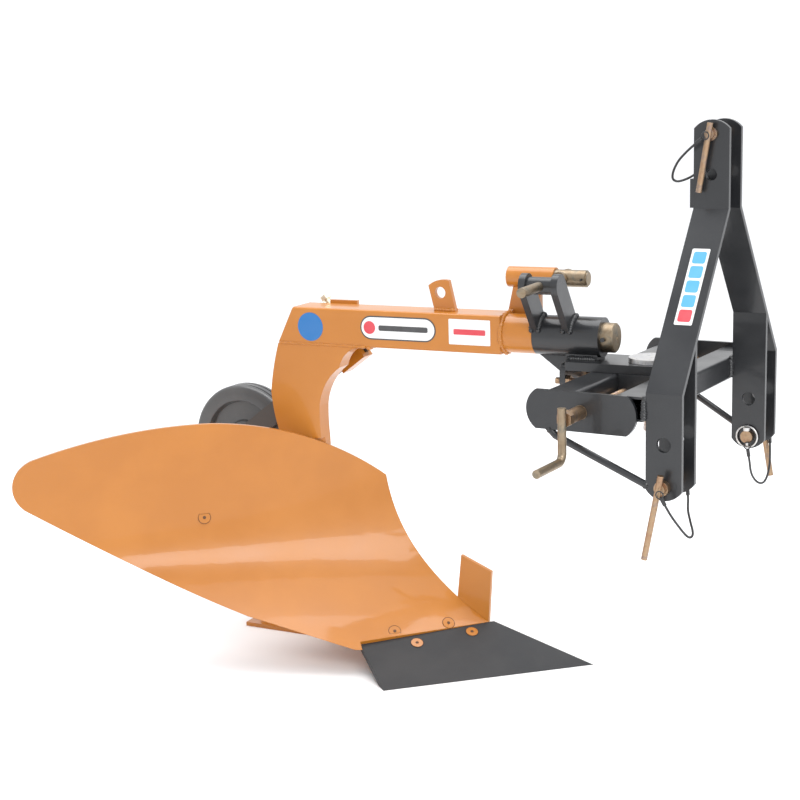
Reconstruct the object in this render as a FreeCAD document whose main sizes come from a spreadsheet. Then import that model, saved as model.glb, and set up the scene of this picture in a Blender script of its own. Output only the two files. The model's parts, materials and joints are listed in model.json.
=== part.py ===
"""Mounted single furrow plough for a small tractor, as separate named pieces.

Frame: the origin lies on the ground (the plane of the share and the sole), below the middle of the
whole plough's box. +X points forward to the tractor, +Y to the plough's left, +Z up. Lengths are in
millimetres. The pieces are drawn from the point on the ground midway between the lower hitch pins,
which lies at (hitch_x, hitch_y). The beam and all that it carries are drawn with the X axis along
the beam and from the upright pivot pin, and are then turned by beam_yaw.
"""
import FreeCAD, Part
import math
import os

import Sketcher

SIZES = {
    # Angles that the shapes share
    "full_turn": 360.0, "right_angle": 90.0, "eighth_turn": 45.0, "twelfth_turn": 30.0,
    # Place of the hitch in the frame
    "hitch_x": 563.4, "hitch_y": 100.2,
    # Flat bars of the headstock and its holes
    "bar_wide": 60.0, "bar_thick": 8.0, "mast_gap": 48.0, "clevis_gap": 48.0, "foot_spread": 400.0,
    "mast_top_z": 997.0, "mast_top_rise": 14.0, "mast_bend_z": 854.0, "foot_bend_z": 583.0,
    "foot_low_z": 412.0, "foot_low_rise": 16.5, "top_pin_z": 974.0, "spare_pin_z": 909.0,
    "link_hole_z": 502.0, "low_pin_z": 434.0, "top_pin_dia": 19.0, "low_pin_dia": 22.0,
    "link_hole_dia": 24.0, "pin_play": 0.1, "running_play": 0.05, "face_gap": 0.3, "seat_gap": 0.8,
    "overrun": 3.0,
    "cross_plate_z": 855.0, "cross_plate_tall": 47.0, "cross_plate_thick": 6.0,
    # Crossbars, end plates and braces
    "crossbar_top_z": 574.0, "crossbar_tall": 40.0, "crossbar_wide": 54.0, "crossbar_wall": 4.0,
    "crossbar_corner": 6.0, "front_bar_x": -34.0, "slide_slot": 65.0, "end_plate_front_x": -46.0,
    "end_plate_long": 193.0, "end_plate_tall": 65.0, "end_plate_top_z": 575.0,
    "left_bar_reach": 52.0, "left_plate_lift": 7.0,
    "end_plate_rise": 17.0, "weld_size": 9.0, "brace_dia": 12.0, "brace_root_x": -198.0,
    "brace_elbow_x": -188.0, "brace_elbow_z": 500.0, "brace_foot_z": 434.0, "brace_past": 1.4,
    # Hitch pins with their handles, linch pins and tethers
    "top_collar_dia": 21.0, "top_collar_thick": 5.0, "low_collar_dia": 24.0,
    "low_collar_thick": 11.0, "pin_end_reach": 9.0, "grip_dia": 10.0, "top_grip_rise": 18.0,
    "top_grip_drop": 93.0, "top_grip_sweep": 17.0, "low_grip_rise": 23.0, "low_grip_drop": 116.0,
    "low_grip_sweep": 25.0, "left_grip_drop": 89.0, "left_grip_sweep": -17.0,
    "grip_stand_off": 6.0, "linch_dia": 6.0, "linch_long": 34.0,
    "linch_ring_radius": 19.0, "linch_wire": 1.6, "tether_dia": 4.0, "eye_radius": 6.0,
    "eye_wire": 1.0, "crimp_dia": 6.4, "crimp_long": 13.0,
    # Side shift: crank, screw and carriage
    "screw_dia": 16.0, "bush_dia": 24.0, "crank_collar_dia": 23.0, "crank_collar_long": 46.0,
    "crank_hexagon_tall": 14.0, "crank_throw": 66.0, "crank_bar_dia": 14.0, "crank_bar_rise": 20.0,
    "crank_bend": 14.0, "crank_grip_reach": 92.0, "crank_nut_flats": 24.0, "crank_nut_tall": 12.0,
    "carriage_long": 110.0, "carriage_flange_wide": 100.0, "carriage_flange_thick": 14.0,
    "pivot_x": -114.0, "pivot_dia": 30.0, "pivot_head_dia": 80.0, "pivot_head_thick": 8.0,
    "pivot_low_z": 470.0, "pivot_nut_flats": 46.0, "pivot_nut_tall": 24.0,
    "pivot_washer_dia": 60.0, "pivot_washer_thick": 8.0,
    # Turret that turns on the pivot and carries the tilting beam
    "beam_yaw": 4.24, "turret_wide": 100.0, "turret_thick": 15.0, "turret_back_x": -140.0,
    "stop_lug_thick": 10.0, "stop_lug_low_z": 538.0, "stop_lug_high_z": 584.0,
    "stop_lug_corner": 16.0, "stop_screw_dia": 12.0, "stop_screw_y": 40.0, "stop_screw_z": 554.0,
    "stop_screw_tail": 10.0, "stop_nut_flats": 18.0, "stop_nut_tall": 8.0,
    "axis_z": 627.0, "tube_dia": 70.0, "tube_front_x": -86.0, "tube_back_x": -208.0,
    "saddle_wide": 40.0, "saddle_front_x": -92.0, "gusset_thick": 10.0, "gusset_back_x": -204.0,
    "gusset_low_z": 552.0, "lug_thick": 12.0, "lug_wide": 42.0, "lug_front_x": -137.0,
    "lug_back_x": -208.0, "trunnion_y": -72.0, "trunnion_z": 723.0, "trunnion_dia": 30.0,
    "journal_dia": 16.0, "spindle_dia": 17.0, "spindle_tail_y": -163.0, "spindle_nose_y": 62.0,
    "spindle_play": 1.2, "spindle_collar_dia": 27.0, "spindle_collar_thick": 9.0,
    # Beam with its front pin, tilt shaft and lifting eye
    "main_pin_dia": 52.0, "main_pin_front_x": -63.0, "main_pin_back_x": -262.0,
    "keeper_dia": 8.0, "keeper_long": 62.0, "keeper_x": -79.0, "socket_dia": 70.0,
    "socket_back_x": -268.0, "beam_side": 70.0, "beam_wall": 6.0, "beam_corner": 5.0, "beam_bore_corner": 0.9,
    "beam_tail_top_x": -691.0, "beam_tail_low_x": -726.0, "shaft_y": 30.0, "shaft_z": 724.0,
    "shaft_dia": 30.0, "shaft_front_x": -125.0, "shaft_back_x": -262.0, "shaft_chamfer": 3.0,
    "shaft_tube_dia": 37.0, "shaft_tube_front_x": -186.0, "shaft_tube_back_x": -275.0,
    "shaft_pin_dia": 4.0, "shaft_pin_long": 46.0, "shaft_pin_x": -133.0, "bracket_thick": 12.0,
    "bracket_low_x": -276.0, "bracket_high_x": -262.0, "bracket_front_x": -214.0, "bracket_low_z": 638.0,
    "eye_plate_thick": 10.0, "eye_x": -397.0, "eye_z": 695.0, "eye_hole_dia": 21.0,
    "eye_base_x": -388.0, "eye_base_long": 42.0, "eye_top_x": -400.0, "eye_top_z": 712.5,
    "eye_top_long": 40.5, "eye_top_fall": 10.0, "eye_crown": 5.0,
    # Leg, frog and landside
    "leg_thick": 35.0, "leg_front_x": -535.0, "leg_back_x": -726.0, "leg_low_z": 108.0,
    "land_y": 50.0, "landside_thick": 10.0, "landside_tall": 96.0, "landside_back_x": -850.0,
    "landside_nose_x": -300.0, "sole_wide": 55.0, "sole_thick": 8.0, "frog_thick": 12.0,
    "frog_back_x": -655.0, "frog_high_z": 238.0, "frog_face_thick": 10.0, "frog_face_start": 30.0,
    "frog_face_end": 72.0, "frog_seat_x": -600.0, "frog_seat_low_z": 112.0, "frog_rib_back": 101.0,
    # Mouldboard, share and shin knife
    "board_side_room": 80.0, "board_thick": 8.0, "board_long": 855.0, "board_tall": 464.0, "board_reach": 725.0,
    "shin_crest_x": -556.0, "shin_crest_z": 480.0, "shin_run": 218.0, "shin_foot_z": 59.0,
    "shin_power": 3.2, "waist_angle": 38.5, "waist_z": 220.0, "foot_twist": 7.1,
    "crown_twist": 8.3, "crown_power": 1.5, "outline_angle": 40.0, "outline_x": -345.0,
    "share_tip_x": -130.0, "share_tip_y": 60.0, "share_angle": 41.45, "share_tilt_angle": 24.3,
    "share_edge_long": 402.0, "share_thick": 10.0,
    "share_land_run": 151.0, "share_land_wide": 143.6, "share_wing_run": 418.0,
    "share_wing_wide": 122.0, "knife_thick": 8.0, "knife_top_z": 185.0,
    "knife_back_top_x": -392.0, "knife_back_low_x": -402.0, "knife_nose_x": -330.0, "knife_nose_z": 159.0,
    "plough_bolt_dia": 12.0, "plough_bolt_head": 23.0, "plough_bolt_head_thick": 4.0,
    "plough_bolt_long": 40.0, "plough_nut_dia": 20.0, "plough_nut_thick": 10.0,
    "strut_dia": 22.0, "strut_foot_x": -700.0, "strut_foot_z": 318.0, "strut_pad_dia": 46.0,
    "strut_pad_thick": 8.0, "strut_seat": 2.4, "strut_reach": 364.0, "strut_z": 277.0,
    # Depth wheel with its arm and clamp
    "arm_wide": 40.0, "arm_thick": 12.0, "arm_y": 50.0, "arm_angle": 36.8, "arm_clamp_x": -620.0,
    "arm_clamp_z": 566.0, "arm_front_reach": 70.0, "axle_reach": 337.0, "clamp_long": 58.0,
    "clamp_wall": 8.0, "clamp_play": 0.5, "clamp_plate_low_z": 560.0, "clamp_plate_high_z": 668.0,
    "clamp_bolt_dia": 12.0, "clamp_bolt_head": 19.0, "clamp_bolt_head_tall": 9.0,
    "clamp_bolt_long": 88.0, "clamp_bolt_reach": -21.0, "clamp_boss_tall": 56.0,
    "wheel_radius": 114.0, "wheel_wide": 48.0, "wheel_rim_thick": 6.0,
    "wheel_disc_thick": 6.0, "hub_dia": 46.0, "hub_long": 62.0, "axle_dia": 20.0,
    "axle_collar_dia": 34.0, "axle_collar_thick": 5.0, "axle_nut_dia": 30.0, "axle_nut_tall": 12.0,
}


class Size:
    """A length, angle or number of the sheet: its present value and the expression that gives it."""

    def __init__(self, value, text):
        self.value, self.text = value, text

    def _with(self, other, sign, work, swap=False):
        other = other if isinstance(other, Size) else Size(float(other), repr(float(other)))
        left, right = (other, self) if swap else (self, other)
        return Size(work(left.value, right.value), f"({left.text} {sign} {right.text})")

    def __add__(self, other):
        return self._with(other, "+", lambda p, q: p + q)

    def __radd__(self, other):
        return self._with(other, "+", lambda p, q: p + q, True)

    def __sub__(self, other):
        return self._with(other, "-", lambda p, q: p - q)

    def __rsub__(self, other):
        return self._with(other, "-", lambda p, q: p - q, True)

    def __mul__(self, other):
        return self._with(other, "*", lambda p, q: p * q)

    def __rmul__(self, other):
        return self._with(other, "*", lambda p, q: p * q, True)

    def __truediv__(self, other):
        return self._with(other, "/", lambda p, q: p / q)

    def __rtruediv__(self, other):
        return self._with(other, "/", lambda p, q: p / q, True)

    def __neg__(self):
        return Size(-self.value, f"(-1 * {self.text})")


def size(value):
    """The value as a Size, so that plain zeros and Sizes can be mixed."""
    return value if isinstance(value, Size) else Size(float(value), repr(float(value)))


def root(square):
    return Size(math.sqrt(square.value), f"sqrt({square.text})")


def power(base, exponent):
    return Size(base.value ** exponent.value, f"pow({base.text}; {exponent.text})")


def sine(angle):
    return Size(math.sin(math.radians(angle.value)), f"sin({angle.text})")


def cosine(angle):
    return Size(math.cos(math.radians(angle.value)), f"cos({angle.text})")


def tangent(angle):
    return Size(math.tan(math.radians(angle.value)), f"tan({angle.text})")


def heading(rise, run):
    """The angle in degrees whose tangent is rise over run, in the right quadrant."""
    return Size(math.degrees(math.atan2(rise.value, run.value)), f"atan2({rise.text}; {run.text})")


doc = FreeCAD.newDocument("plough")
sheet = doc.addObject("Spreadsheet::Sheet", "Sizes")
for row, (alias, value) in enumerate(SIZES.items(), 1):
    sheet.set(f"A{row}", alias)
    sheet.set(f"B{row}", str(value))
    sheet.setAlias(f"B{row}", alias)
doc.recompute()


class Lookup:
    """Gives each cell of the sheet by its alias: s.bar_wide."""

    def __getattr__(self, alias):
        return Size(float(SIZES[alias]), f"Sizes.{alias}")


s = Lookup()
nodes = []


# Helpers that make one bound object each

def bind(obj, name, value):
    obj.setExpression(name, size(value).text)


def place(obj, point, yaw=0, pitch=0, roll=0):
    """Put an object at a point, turned by roll about X, then pitch about Y, then yaw about Z."""
    x, y, z, yaw, pitch, roll = (size(v).text for v in (*point, yaw, pitch, roll))
    obj.setExpression("Placement", f"placement(vector({x}; {y}; {z}); rotation({yaw}; {pitch}; {roll}))")


def block(name, low, high):
    """A box between two corners."""
    box = doc.addObject("Part::Box", name)
    for side, a, b in zip(("Length", "Width", "Height"), low, high):
        bind(box, side, size(b) - a)
    place(box, low)
    return box


def direction(start, end):
    """Length, yaw and pitch of the line from one point to another."""
    dx, dy, dz = (size(b) - a for a, b in zip(start, end))
    flat = dx * dx + dy * dy
    return root(flat + dz * dz), heading(dy, dx), heading(root(flat), dz)


def between(start, end, share):
    """The point at a share of the way from one point to another, past the end for a share over one."""
    return tuple(size(a) + (size(b) - a) * share for a, b in zip(start, end))


def rod(name, start, end, radius):
    """A cylinder whose axis runs from one point to another."""
    long, yaw, pitch = direction(start, end)
    cylinder = doc.addObject("Part::Cylinder", name)
    bind(cylinder, "Radius", radius)
    bind(cylinder, "Height", long)
    place(cylinder, start, yaw, pitch)
    return cylinder


def ball(name, centre, radius):
    sphere = doc.addObject("Part::Sphere", name)
    bind(sphere, "Radius", radius)
    place(sphere, centre)
    return sphere


def hexagon(name, start, end, across_flats):
    """A nut or bolt head: a hexagonal prism from one point to another."""
    long, yaw, pitch = direction(start, end)
    prism = doc.addObject("Part::Prism", name)
    prism.Polygon = 6
    bind(prism, "Circumradius", across_flats / 2 / cosine(s.twelfth_turn))
    bind(prism, "Height", long)
    place(prism, start, yaw, pitch)
    return prism


def ring(name, centre, radius, wire, yaw=0, pitch=0, turn=s.full_turn):
    """A wire ring, or part of one, in the plane square to the Z axis turned by pitch and yaw."""
    torus = doc.addObject("Part::Torus", name)
    bind(torus, "Radius1", radius)
    bind(torus, "Radius2", wire)
    bind(torus, "Angle3", turn)
    place(torus, centre, yaw, pitch)
    return torus


def joined(name, parts):
    fuse = doc.addObject("Part::MultiFuse", name)
    fuse.Shapes = parts
    return fuse


def group(name, parts):
    """Separate solids kept together under one name."""
    compound = doc.addObject("Part::Compound", name)
    compound.Links = parts
    return compound


def cut(name, base, tools):
    result = doc.addObject("Part::Cut", name)
    result.Base = base
    result.Tool = tools[0] if len(tools) == 1 else joined(name + "_tools", tools)
    return result


def common(name, first, second):
    result = doc.addObject("Part::Common", name)
    result.Base, result.Tool = first, second
    return result


def arc_of(start, end, bulge):
    """The arc from start to end that swells by bulge to the right of the way from start to end."""
    ax, ay, bx, by = start[0].value, start[1].value, end[0].value, end[1].value
    chord = math.hypot(bx - ax, by - ay)
    swell = abs(bulge.value)
    radius = (chord * chord / 4 + swell * swell) / (2 * swell)
    out = (1 if bulge.value > 0 else -1) * (radius - swell) / chord
    cx, cy = (ax + bx) / 2 - (by - ay) * out, (ay + by) / 2 + (bx - ax) * out
    first, last = math.atan2(ay - cy, ax - cx), math.atan2(by - cy, bx - cx)
    if bulge.value < 0:
        first, last = last, first
    circle = Part.Circle(FreeCAD.Vector(cx, cy, 0), FreeCAD.Vector(0, 0, 1), radius)
    return Part.ArcOfCircle(circle, first, last)


def pin_point(sketch, geometry, end, x, y):
    """Hold one point of a sketch at bound coordinates."""
    for kind, value in (("DistanceX", x), ("DistanceY", y)):
        index = sketch.addConstraint(Sketcher.Constraint(kind, -1, 1, geometry, end, value.value))
        sketch.setExpression(f"Constraints[{index}]", value.text)


def hold_radius(sketch, geometry, radius):
    index = sketch.addConstraint(Sketcher.Constraint("Radius", geometry, radius.value))
    sketch.setExpression(f"Constraints[{index}]", radius.text)


def trace(sketch, outline, holes=()):
    """Draw a closed anticlockwise outline, each corner (x, y) or (x, y, bulge of the arc that reaches it)."""
    corners = [tuple(size(v) for v in corner) for corner in outline]
    for index, corner in enumerate(corners):
        before = corners[index - 1]
        if len(corner) == 2:
            ends = [FreeCAD.Vector(p[0].value, p[1].value, 0) for p in (before, corner)]
            geometry, end = sketch.addGeometry(Part.LineSegment(*ends)), 2
        else:
            geometry = sketch.addGeometry(arc_of(before, corner, corner[2]))
            end = 2 if corner[2].value > 0 else 1
        pin_point(sketch, geometry, end, corner[0], corner[1])
        pin_point(sketch, geometry, 3 - end, before[0], before[1])
        if len(corner) == 3:
            dx, dy = corner[0] - before[0], corner[1] - before[1]
            swell = corner[2] if corner[2].value > 0 else -corner[2]
            hold_radius(sketch, geometry, ((dx * dx + dy * dy) / 4 + swell * swell) / (2 * swell))
    for x, y, radius in holes:
        x, y, radius = size(x), size(y), size(radius)
        circle = Part.Circle(FreeCAD.Vector(x.value, y.value, 0), FreeCAD.Vector(0, 0, 1), radius.value)
        geometry = sketch.addGeometry(circle)
        pin_point(sketch, geometry, 3, x, y)
        hold_radius(sketch, geometry, radius)


def new_sketch(body, name, plane, offset):
    """A sketch on one of the body's own planes, moved along that plane's normal."""
    sketch = body.newObject("Sketcher::SketchObject", name)
    support = next(f for f in body.Origin.OriginFeatures if f.Role == plane)
    sketch.AttachmentSupport = (support, "")
    sketch.MapMode = "FlatFace"
    bind(sketch, "AttachmentOffset.Base.z", offset)
    return sketch


def plate(name, plane, low, high, outline, holes=()):
    """A body padded from an outline: XZ_Plane plates lie between two Y, YZ_Plane two X, XY_Plane two Z."""
    low, high = size(low), size(high)
    body = doc.addObject("PartDesign::Body", name)
    sketch = new_sketch(body, name + "_sketch", plane, -high if plane == "XZ_Plane" else low)
    trace(sketch, outline, holes)
    pad = body.newObject("PartDesign::Pad", name + "_pad")
    pad.Profile = sketch
    bind(pad, "Length", high - low)
    return body


def rounded(low_x, high_x, low_y, high_y, radius):
    """A rectangle with round corners, as an outline."""
    bulge = radius * (1 - cosine(s.eighth_turn))
    return [(high_x - radius, low_y), (high_x, low_y + radius, bulge), (high_x, high_y - radius),
            (high_x - radius, high_y, bulge), (low_x + radius, high_y), (low_x, high_y - radius, bulge),
            (low_x, low_y + radius), (low_x + radius, low_y, bulge)]


def round_end(start, end):
    """Corners of a half circle that swells to the right of the way from start to end, in two arcs."""
    (ax, ay), (bx, by) = start, end
    dx, dy = size(bx) - ax, size(by) - ay
    bulge = root(dx * dx + dy * dy) / 2 * (1 - cosine(s.eighth_turn))
    return [((size(ax) + bx) / 2 + dy / 2, (size(ay) + by) / 2 - dx / 2, bulge), (bx, by, bulge)]


def turned(name, profile):
    """A body of revolution about its own Z axis, from an outline of (radius, height) corners."""
    body = doc.addObject("PartDesign::Body", name)
    sketch = new_sketch(body, name + "_sketch", "XZ_Plane", 0)
    trace(sketch, profile)
    turn = body.newObject("PartDesign::Revolution", name + "_turn")
    turn.Profile = sketch
    turn.ReferenceAxis = (sketch, ["V_Axis"])
    return body


def node(label, obj, x=0, yaw=0):
    """Name a finished piece and put it in the frame, turned by yaw about an upright axis at x."""
    place(obj, (s.hitch_x + x, s.hitch_y, 0), yaw)
    obj.Label = label
    nodes.append(obj)
    return obj


def beam_node(label, obj):
    """Name a finished piece that turns on the upright pivot, and put it in the frame."""
    return node(label, obj, s.pivot_x, s.beam_yaw)


# Headstock: two bent mast legs, the inner clevis plates and the plate between the mast plates

mast_y = s.mast_gap / 2
foot_in_y = (s.foot_spread + s.clevis_gap) / 2
leg_lean = heading(foot_in_y - mast_y, s.mast_bend_z - s.foot_bend_z)
mitre = s.bar_thick * tangent(leg_lean / 2)
half_bar = s.bar_wide / 2


def bar_side(low_z, high_z):
    """Side view of an upright flat bar with arcs at both ends."""
    return [(-half_bar, low_z + s.foot_low_rise),
            (half_bar, low_z + s.foot_low_rise, s.foot_low_rise),
            (half_bar, high_z - s.mast_top_rise), (-half_bar, high_z - s.mast_top_rise, s.mast_top_rise)]


def side_view(name, side, low_y, high_y, low_z, high_z, holes):
    """The bar's side view as a prism across one side's plates."""
    ends = (side * high_y, side * low_y) if side < 0 else (low_y, high_y)
    return plate(name, "XZ_Plane", *ends, bar_side(low_z, high_z), holes)


def mast_leg(name, side):
    """One flat bar: upright at the mast, sloping out, and upright again beside the lower pin."""
    far = s.bar_thick
    path = [(mast_y, s.mast_top_z), (mast_y, s.mast_bend_z - mitre), (foot_in_y, s.foot_bend_z - mitre),
            (foot_in_y, s.foot_low_z), (foot_in_y + far, s.foot_low_z), (foot_in_y + far, s.foot_bend_z),
            (mast_y + far, s.mast_bend_z), (mast_y + far, s.mast_top_z)]
    corners = [(y, z) for y, z in path] if side > 0 else [(-y, z) for y, z in reversed(path)]
    strip = plate(name + "_strip", "YZ_Plane", -half_bar, half_bar, corners)
    holes = [(0, s.top_pin_z, s.top_pin_dia / 2 + s.pin_play),
             (0, s.spare_pin_z, s.top_pin_dia / 2 + s.pin_play),
             (0, s.link_hole_z, s.link_hole_dia / 2), (0, s.low_pin_z, s.low_pin_dia / 2 + s.pin_play)]
    view = side_view(name + "_view", side, mast_y - s.overrun, foot_in_y + s.bar_thick + s.overrun,
                     s.foot_low_z, s.mast_top_z, holes)
    return node(name, common(name, strip, view))


def inner_plate(name, side):
    """The shorter plate of one clevis, from the foot to the sloping leg above it."""
    near = foot_in_y - s.clevis_gap - s.bar_thick
    slope = (s.mast_bend_z - s.foot_bend_z) / (foot_in_y - mast_y)
    top = s.foot_bend_z - mitre + s.clevis_gap * slope
    path = [(near, s.foot_low_z), (near + s.bar_thick, s.foot_low_z), (near + s.bar_thick, top),
            (near, top + s.bar_thick * slope)]
    corners = path if side > 0 else [(-y, z) for y, z in reversed(path)]
    strip = plate(name + "_strip", "YZ_Plane", -half_bar, half_bar, corners)
    holes = [(0, s.link_hole_z, s.link_hole_dia / 2), (0, s.low_pin_z, s.low_pin_dia / 2 + s.pin_play)]
    view = side_view(name + "_view", side, near - s.overrun, near + s.bar_thick + s.overrun,
                     s.foot_low_z, s.mast_top_z, holes)
    return node(name, common(name, strip, view))


mast_leg("mast_leg_right", -1)
mast_leg("mast_leg_left", 1)
inner_plate("inner_plate_right", -1)
inner_plate("inner_plate_left", 1)

cross_back = -half_bar - s.cross_plate_thick
cross_half = mast_y + s.bar_thick
node("mast_cross_plate", group("mast_cross_plate", [block("cross_plate", (
    cross_back, -cross_half, s.cross_plate_z), (-half_bar, cross_half, s.cross_plate_z + s.cross_plate_tall))]))

# Crossbars, end plates, weld beads and braces

crossbar_low_z = s.crossbar_top_z - s.crossbar_tall
end_plate_y = foot_in_y
left_plate_y = end_plate_y + s.left_bar_reach
end_plate_low_z = s.end_plate_top_z - s.end_plate_tall
screw_x = s.end_plate_front_x - s.end_plate_long / 2
screw_z = s.end_plate_top_z - s.end_plate_tall / 2
rear_bar_x = s.front_bar_x - s.crossbar_wide - s.slide_slot


def crossbar(name, front_x):
    """A rectangular tube across the headstock."""
    outer = rounded(front_x - s.crossbar_wide, front_x, crossbar_low_z, s.crossbar_top_z, s.crossbar_corner)
    wall = s.crossbar_wall
    inner = rounded(front_x - s.crossbar_wide + wall, front_x - wall, crossbar_low_z + wall,
                    s.crossbar_top_z - wall, s.crossbar_corner - wall / 2)
    solid = plate(name + "_outer", "XZ_Plane", -end_plate_y, left_plate_y, outer)
    hollow = plate(name + "_bore", "XZ_Plane", -end_plate_y - s.overrun, left_plate_y + s.overrun, inner)
    return node(name, cut(name, solid, [hollow]))


crossbar("front_crossbar", s.front_bar_x)
crossbar("rear_crossbar", rear_bar_x)


def end_plate(name, near_y, far_y, lift):
    """The oblong plate that closes the crossbars on one side and holds a bush of the screw."""
    back_x = s.end_plate_front_x - s.end_plate_long
    rise, low, high = s.end_plate_rise, end_plate_low_z + lift, s.end_plate_top_z + lift
    outline = [(s.end_plate_front_x - rise, low), (s.end_plate_front_x - rise, high, rise),
               (back_x + rise, high), (back_x + rise, low, rise)]
    return node(name, plate(name, "XZ_Plane", near_y, far_y, outline, [(screw_x, screw_z, s.bush_dia / 2)]))


end_plate("end_plate_right", -end_plate_y - s.bar_thick, -end_plate_y, 0)
end_plate("end_plate_left", left_plate_y, left_plate_y + s.bar_thick, s.left_plate_lift)

beads = []
for side in (-1, 1):
    for at, y in (("outer", foot_in_y), ("inner", foot_in_y - s.clevis_gap)):
        # each bead fills the corner between the front bar and the rear edge of a clevis plate
        bead = rod(f"bead_{at}_{'right' if side < 0 else 'left'}",
                   (-half_bar - s.weld_size / 2, side * y, crossbar_low_z + s.crossbar_corner),
                   (-half_bar - s.weld_size / 2, side * y, s.crossbar_top_z - s.crossbar_corner),
                   s.weld_size / 2)
        plates = block(f"bead_room_{at}_{side + 1}", (-half_bar, -s.foot_spread, s.foot_low_z),
                       (half_bar, s.foot_spread, s.mast_bend_z))
        bars = block(f"bead_bar_{at}_{side + 1}",
                     (s.front_bar_x - s.crossbar_wide, -end_plate_y, s.foot_low_z),
                     (s.front_bar_x, left_plate_y, s.mast_bend_z))
        beads.append(cut(f"bead_cut_{at}_{side + 1}", bead, [plates, bars]))
node("frame_welds", group("frame_welds", beads))

braces = []
half_plate = s.bar_thick / 2
for name, y, foot_y, lift in (("right", -end_plate_y - half_plate, -end_plate_y - half_plate, 0),
                              ("left", left_plate_y + half_plate, end_plate_y + half_plate,
                               s.left_plate_lift)):
    brace_root = (s.brace_root_x, y, end_plate_low_z + lift)
    elbow = (s.brace_elbow_x, y, s.brace_elbow_z + lift)
    foot = (-half_bar, foot_y, s.brace_foot_z)
    run_past = 1 + s.brace_dia / (foot[0] - elbow[0])
    brace = joined(f"brace_bar_{name}", [
        rod(f"brace_root_{name}", between(elbow, brace_root, s.brace_past), elbow, s.brace_dia / 2),
        ball(f"brace_elbow_{name}", elbow, s.brace_dia / 2),
        rod(f"brace_run_{name}", elbow, between(elbow, foot, run_past), s.brace_dia / 2)])
    braces.append(cut(f"brace_{name}", brace, [
        block(f"brace_top_{name}", (s.brace_root_x - s.bar_wide, y - s.bar_wide / 2, end_plate_low_z + lift),
              (s.brace_root_x + s.bar_wide, y + s.bar_wide / 2, end_plate_low_z + lift + s.bar_wide)),
        block(f"brace_end_{name}", (-half_bar, foot_y - s.bar_wide / 2, s.brace_foot_z - s.bar_wide),
              (half_bar, foot_y + s.bar_wide / 2, s.brace_foot_z + s.bar_wide))]))
node("brace_rods", group("brace_rods", braces))

# Hitch pins: a pin, its collar and a handle welded on, with a linch pin through the far end

top_pin_end = mast_y + s.bar_thick + s.pin_end_reach
low_in_y = foot_in_y - s.clevis_gap - s.bar_thick
low_out_y = foot_in_y + s.bar_thick


def hitch_pin(name, side, dia, z, near_y, far_y, collar, grip):
    """A pin along Y from its collar at near_y to its plain end past far_y."""
    collar_dia, collar_thick = collar
    rise, drop, sweep = grip
    away = 1 if near_y.value > far_y.value else -1
    head_y = near_y + away * collar_thick
    grip_y = head_y + away * s.grip_stand_off
    end_y = far_y - away * s.pin_end_reach
    slant = sweep / drop
    parts = [rod(name + "_shank", (0, head_y, z), (0, end_y, z), dia / 2),
             rod(name + "_collar", (0, near_y, z), (0, head_y, z), collar_dia / 2),
             rod(name + "_stub", (0, head_y, z), (0, grip_y, z), dia / 2 - s.grip_dia / 4),
             rod(name + "_grip", (rise * slant / 2, grip_y, z + rise), (-sweep, grip_y, z - drop),
                 s.grip_dia / 2)]
    hole_y = end_y + away * s.linch_dia
    hole = rod(name + "_hole", (0, hole_y, z - dia), (0, hole_y, z + dia), s.linch_dia / 2 + s.pin_play)
    node(name, cut(name, joined(name + "_whole", parts), [hole]))
    pin = rod(name + "_linch_shank", (0, hole_y, z - s.linch_long / 2), (0, hole_y, z + s.linch_long / 2),
              s.linch_dia / 2)
    linch_head_y = hole_y - away * (s.linch_dia / 2 + s.face_gap)
    head = rod(name + "_linch_head", (0, linch_head_y, z + s.linch_long / 2 - s.linch_dia),
               (0, linch_head_y, z + s.linch_long / 2), s.linch_dia)
    eye = ring(name + "_linch_ring", (0, hole_y - away * s.linch_wire, z), s.linch_ring_radius, s.linch_wire,
               s.right_angle, s.right_angle)
    return joined(name + "_linch", [pin, head, eye])


top_collar = (s.top_collar_dia, s.top_collar_thick)
low_collar = (s.low_collar_dia, s.low_collar_thick)
top_grip = (s.top_grip_rise, s.top_grip_drop, s.top_grip_sweep)
right_grip = (s.low_grip_rise, s.low_grip_drop, s.low_grip_sweep)
left_grip = (s.low_grip_rise, s.left_grip_drop, s.left_grip_sweep)
mast_out_y = mast_y + s.bar_thick
node("linchpins", group("linchpins", [
    hitch_pin("top_link_pin", -1, s.top_pin_dia, s.top_pin_z, -mast_out_y, mast_out_y, top_collar, top_grip),
    hitch_pin("lower_link_pin_right", -1, s.low_pin_dia, s.low_pin_z, -low_out_y, -low_in_y, low_collar,
              right_grip),
    hitch_pin("lower_link_pin_left", 1, s.low_pin_dia, s.low_pin_z, low_out_y, low_in_y, low_collar,
              left_grip)]))

# Side shift: the crank turns the screw in two bushes and the screw draws the carriage along the slot

right_bush_out, left_bush_out = -end_plate_y - s.bar_thick, left_plate_y + s.bar_thick
bushes = []
for name, near_y, far_y in (("right", right_bush_out, -end_plate_y), ("left", left_plate_y, left_bush_out)):
    outer = rod(f"bush_{name}", (screw_x, near_y, screw_z), (screw_x, far_y, screw_z), s.bush_dia / 2)
    bore = rod(f"bush_bore_{name}", (screw_x, near_y - s.overrun, screw_z),
               (screw_x, far_y + s.overrun, screw_z), s.screw_dia / 2 + s.running_play)
    bushes.append(cut(f"bush_ring_{name}", outer, [bore]))
node("crank_bushes", group("crank_bushes", bushes))

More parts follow.
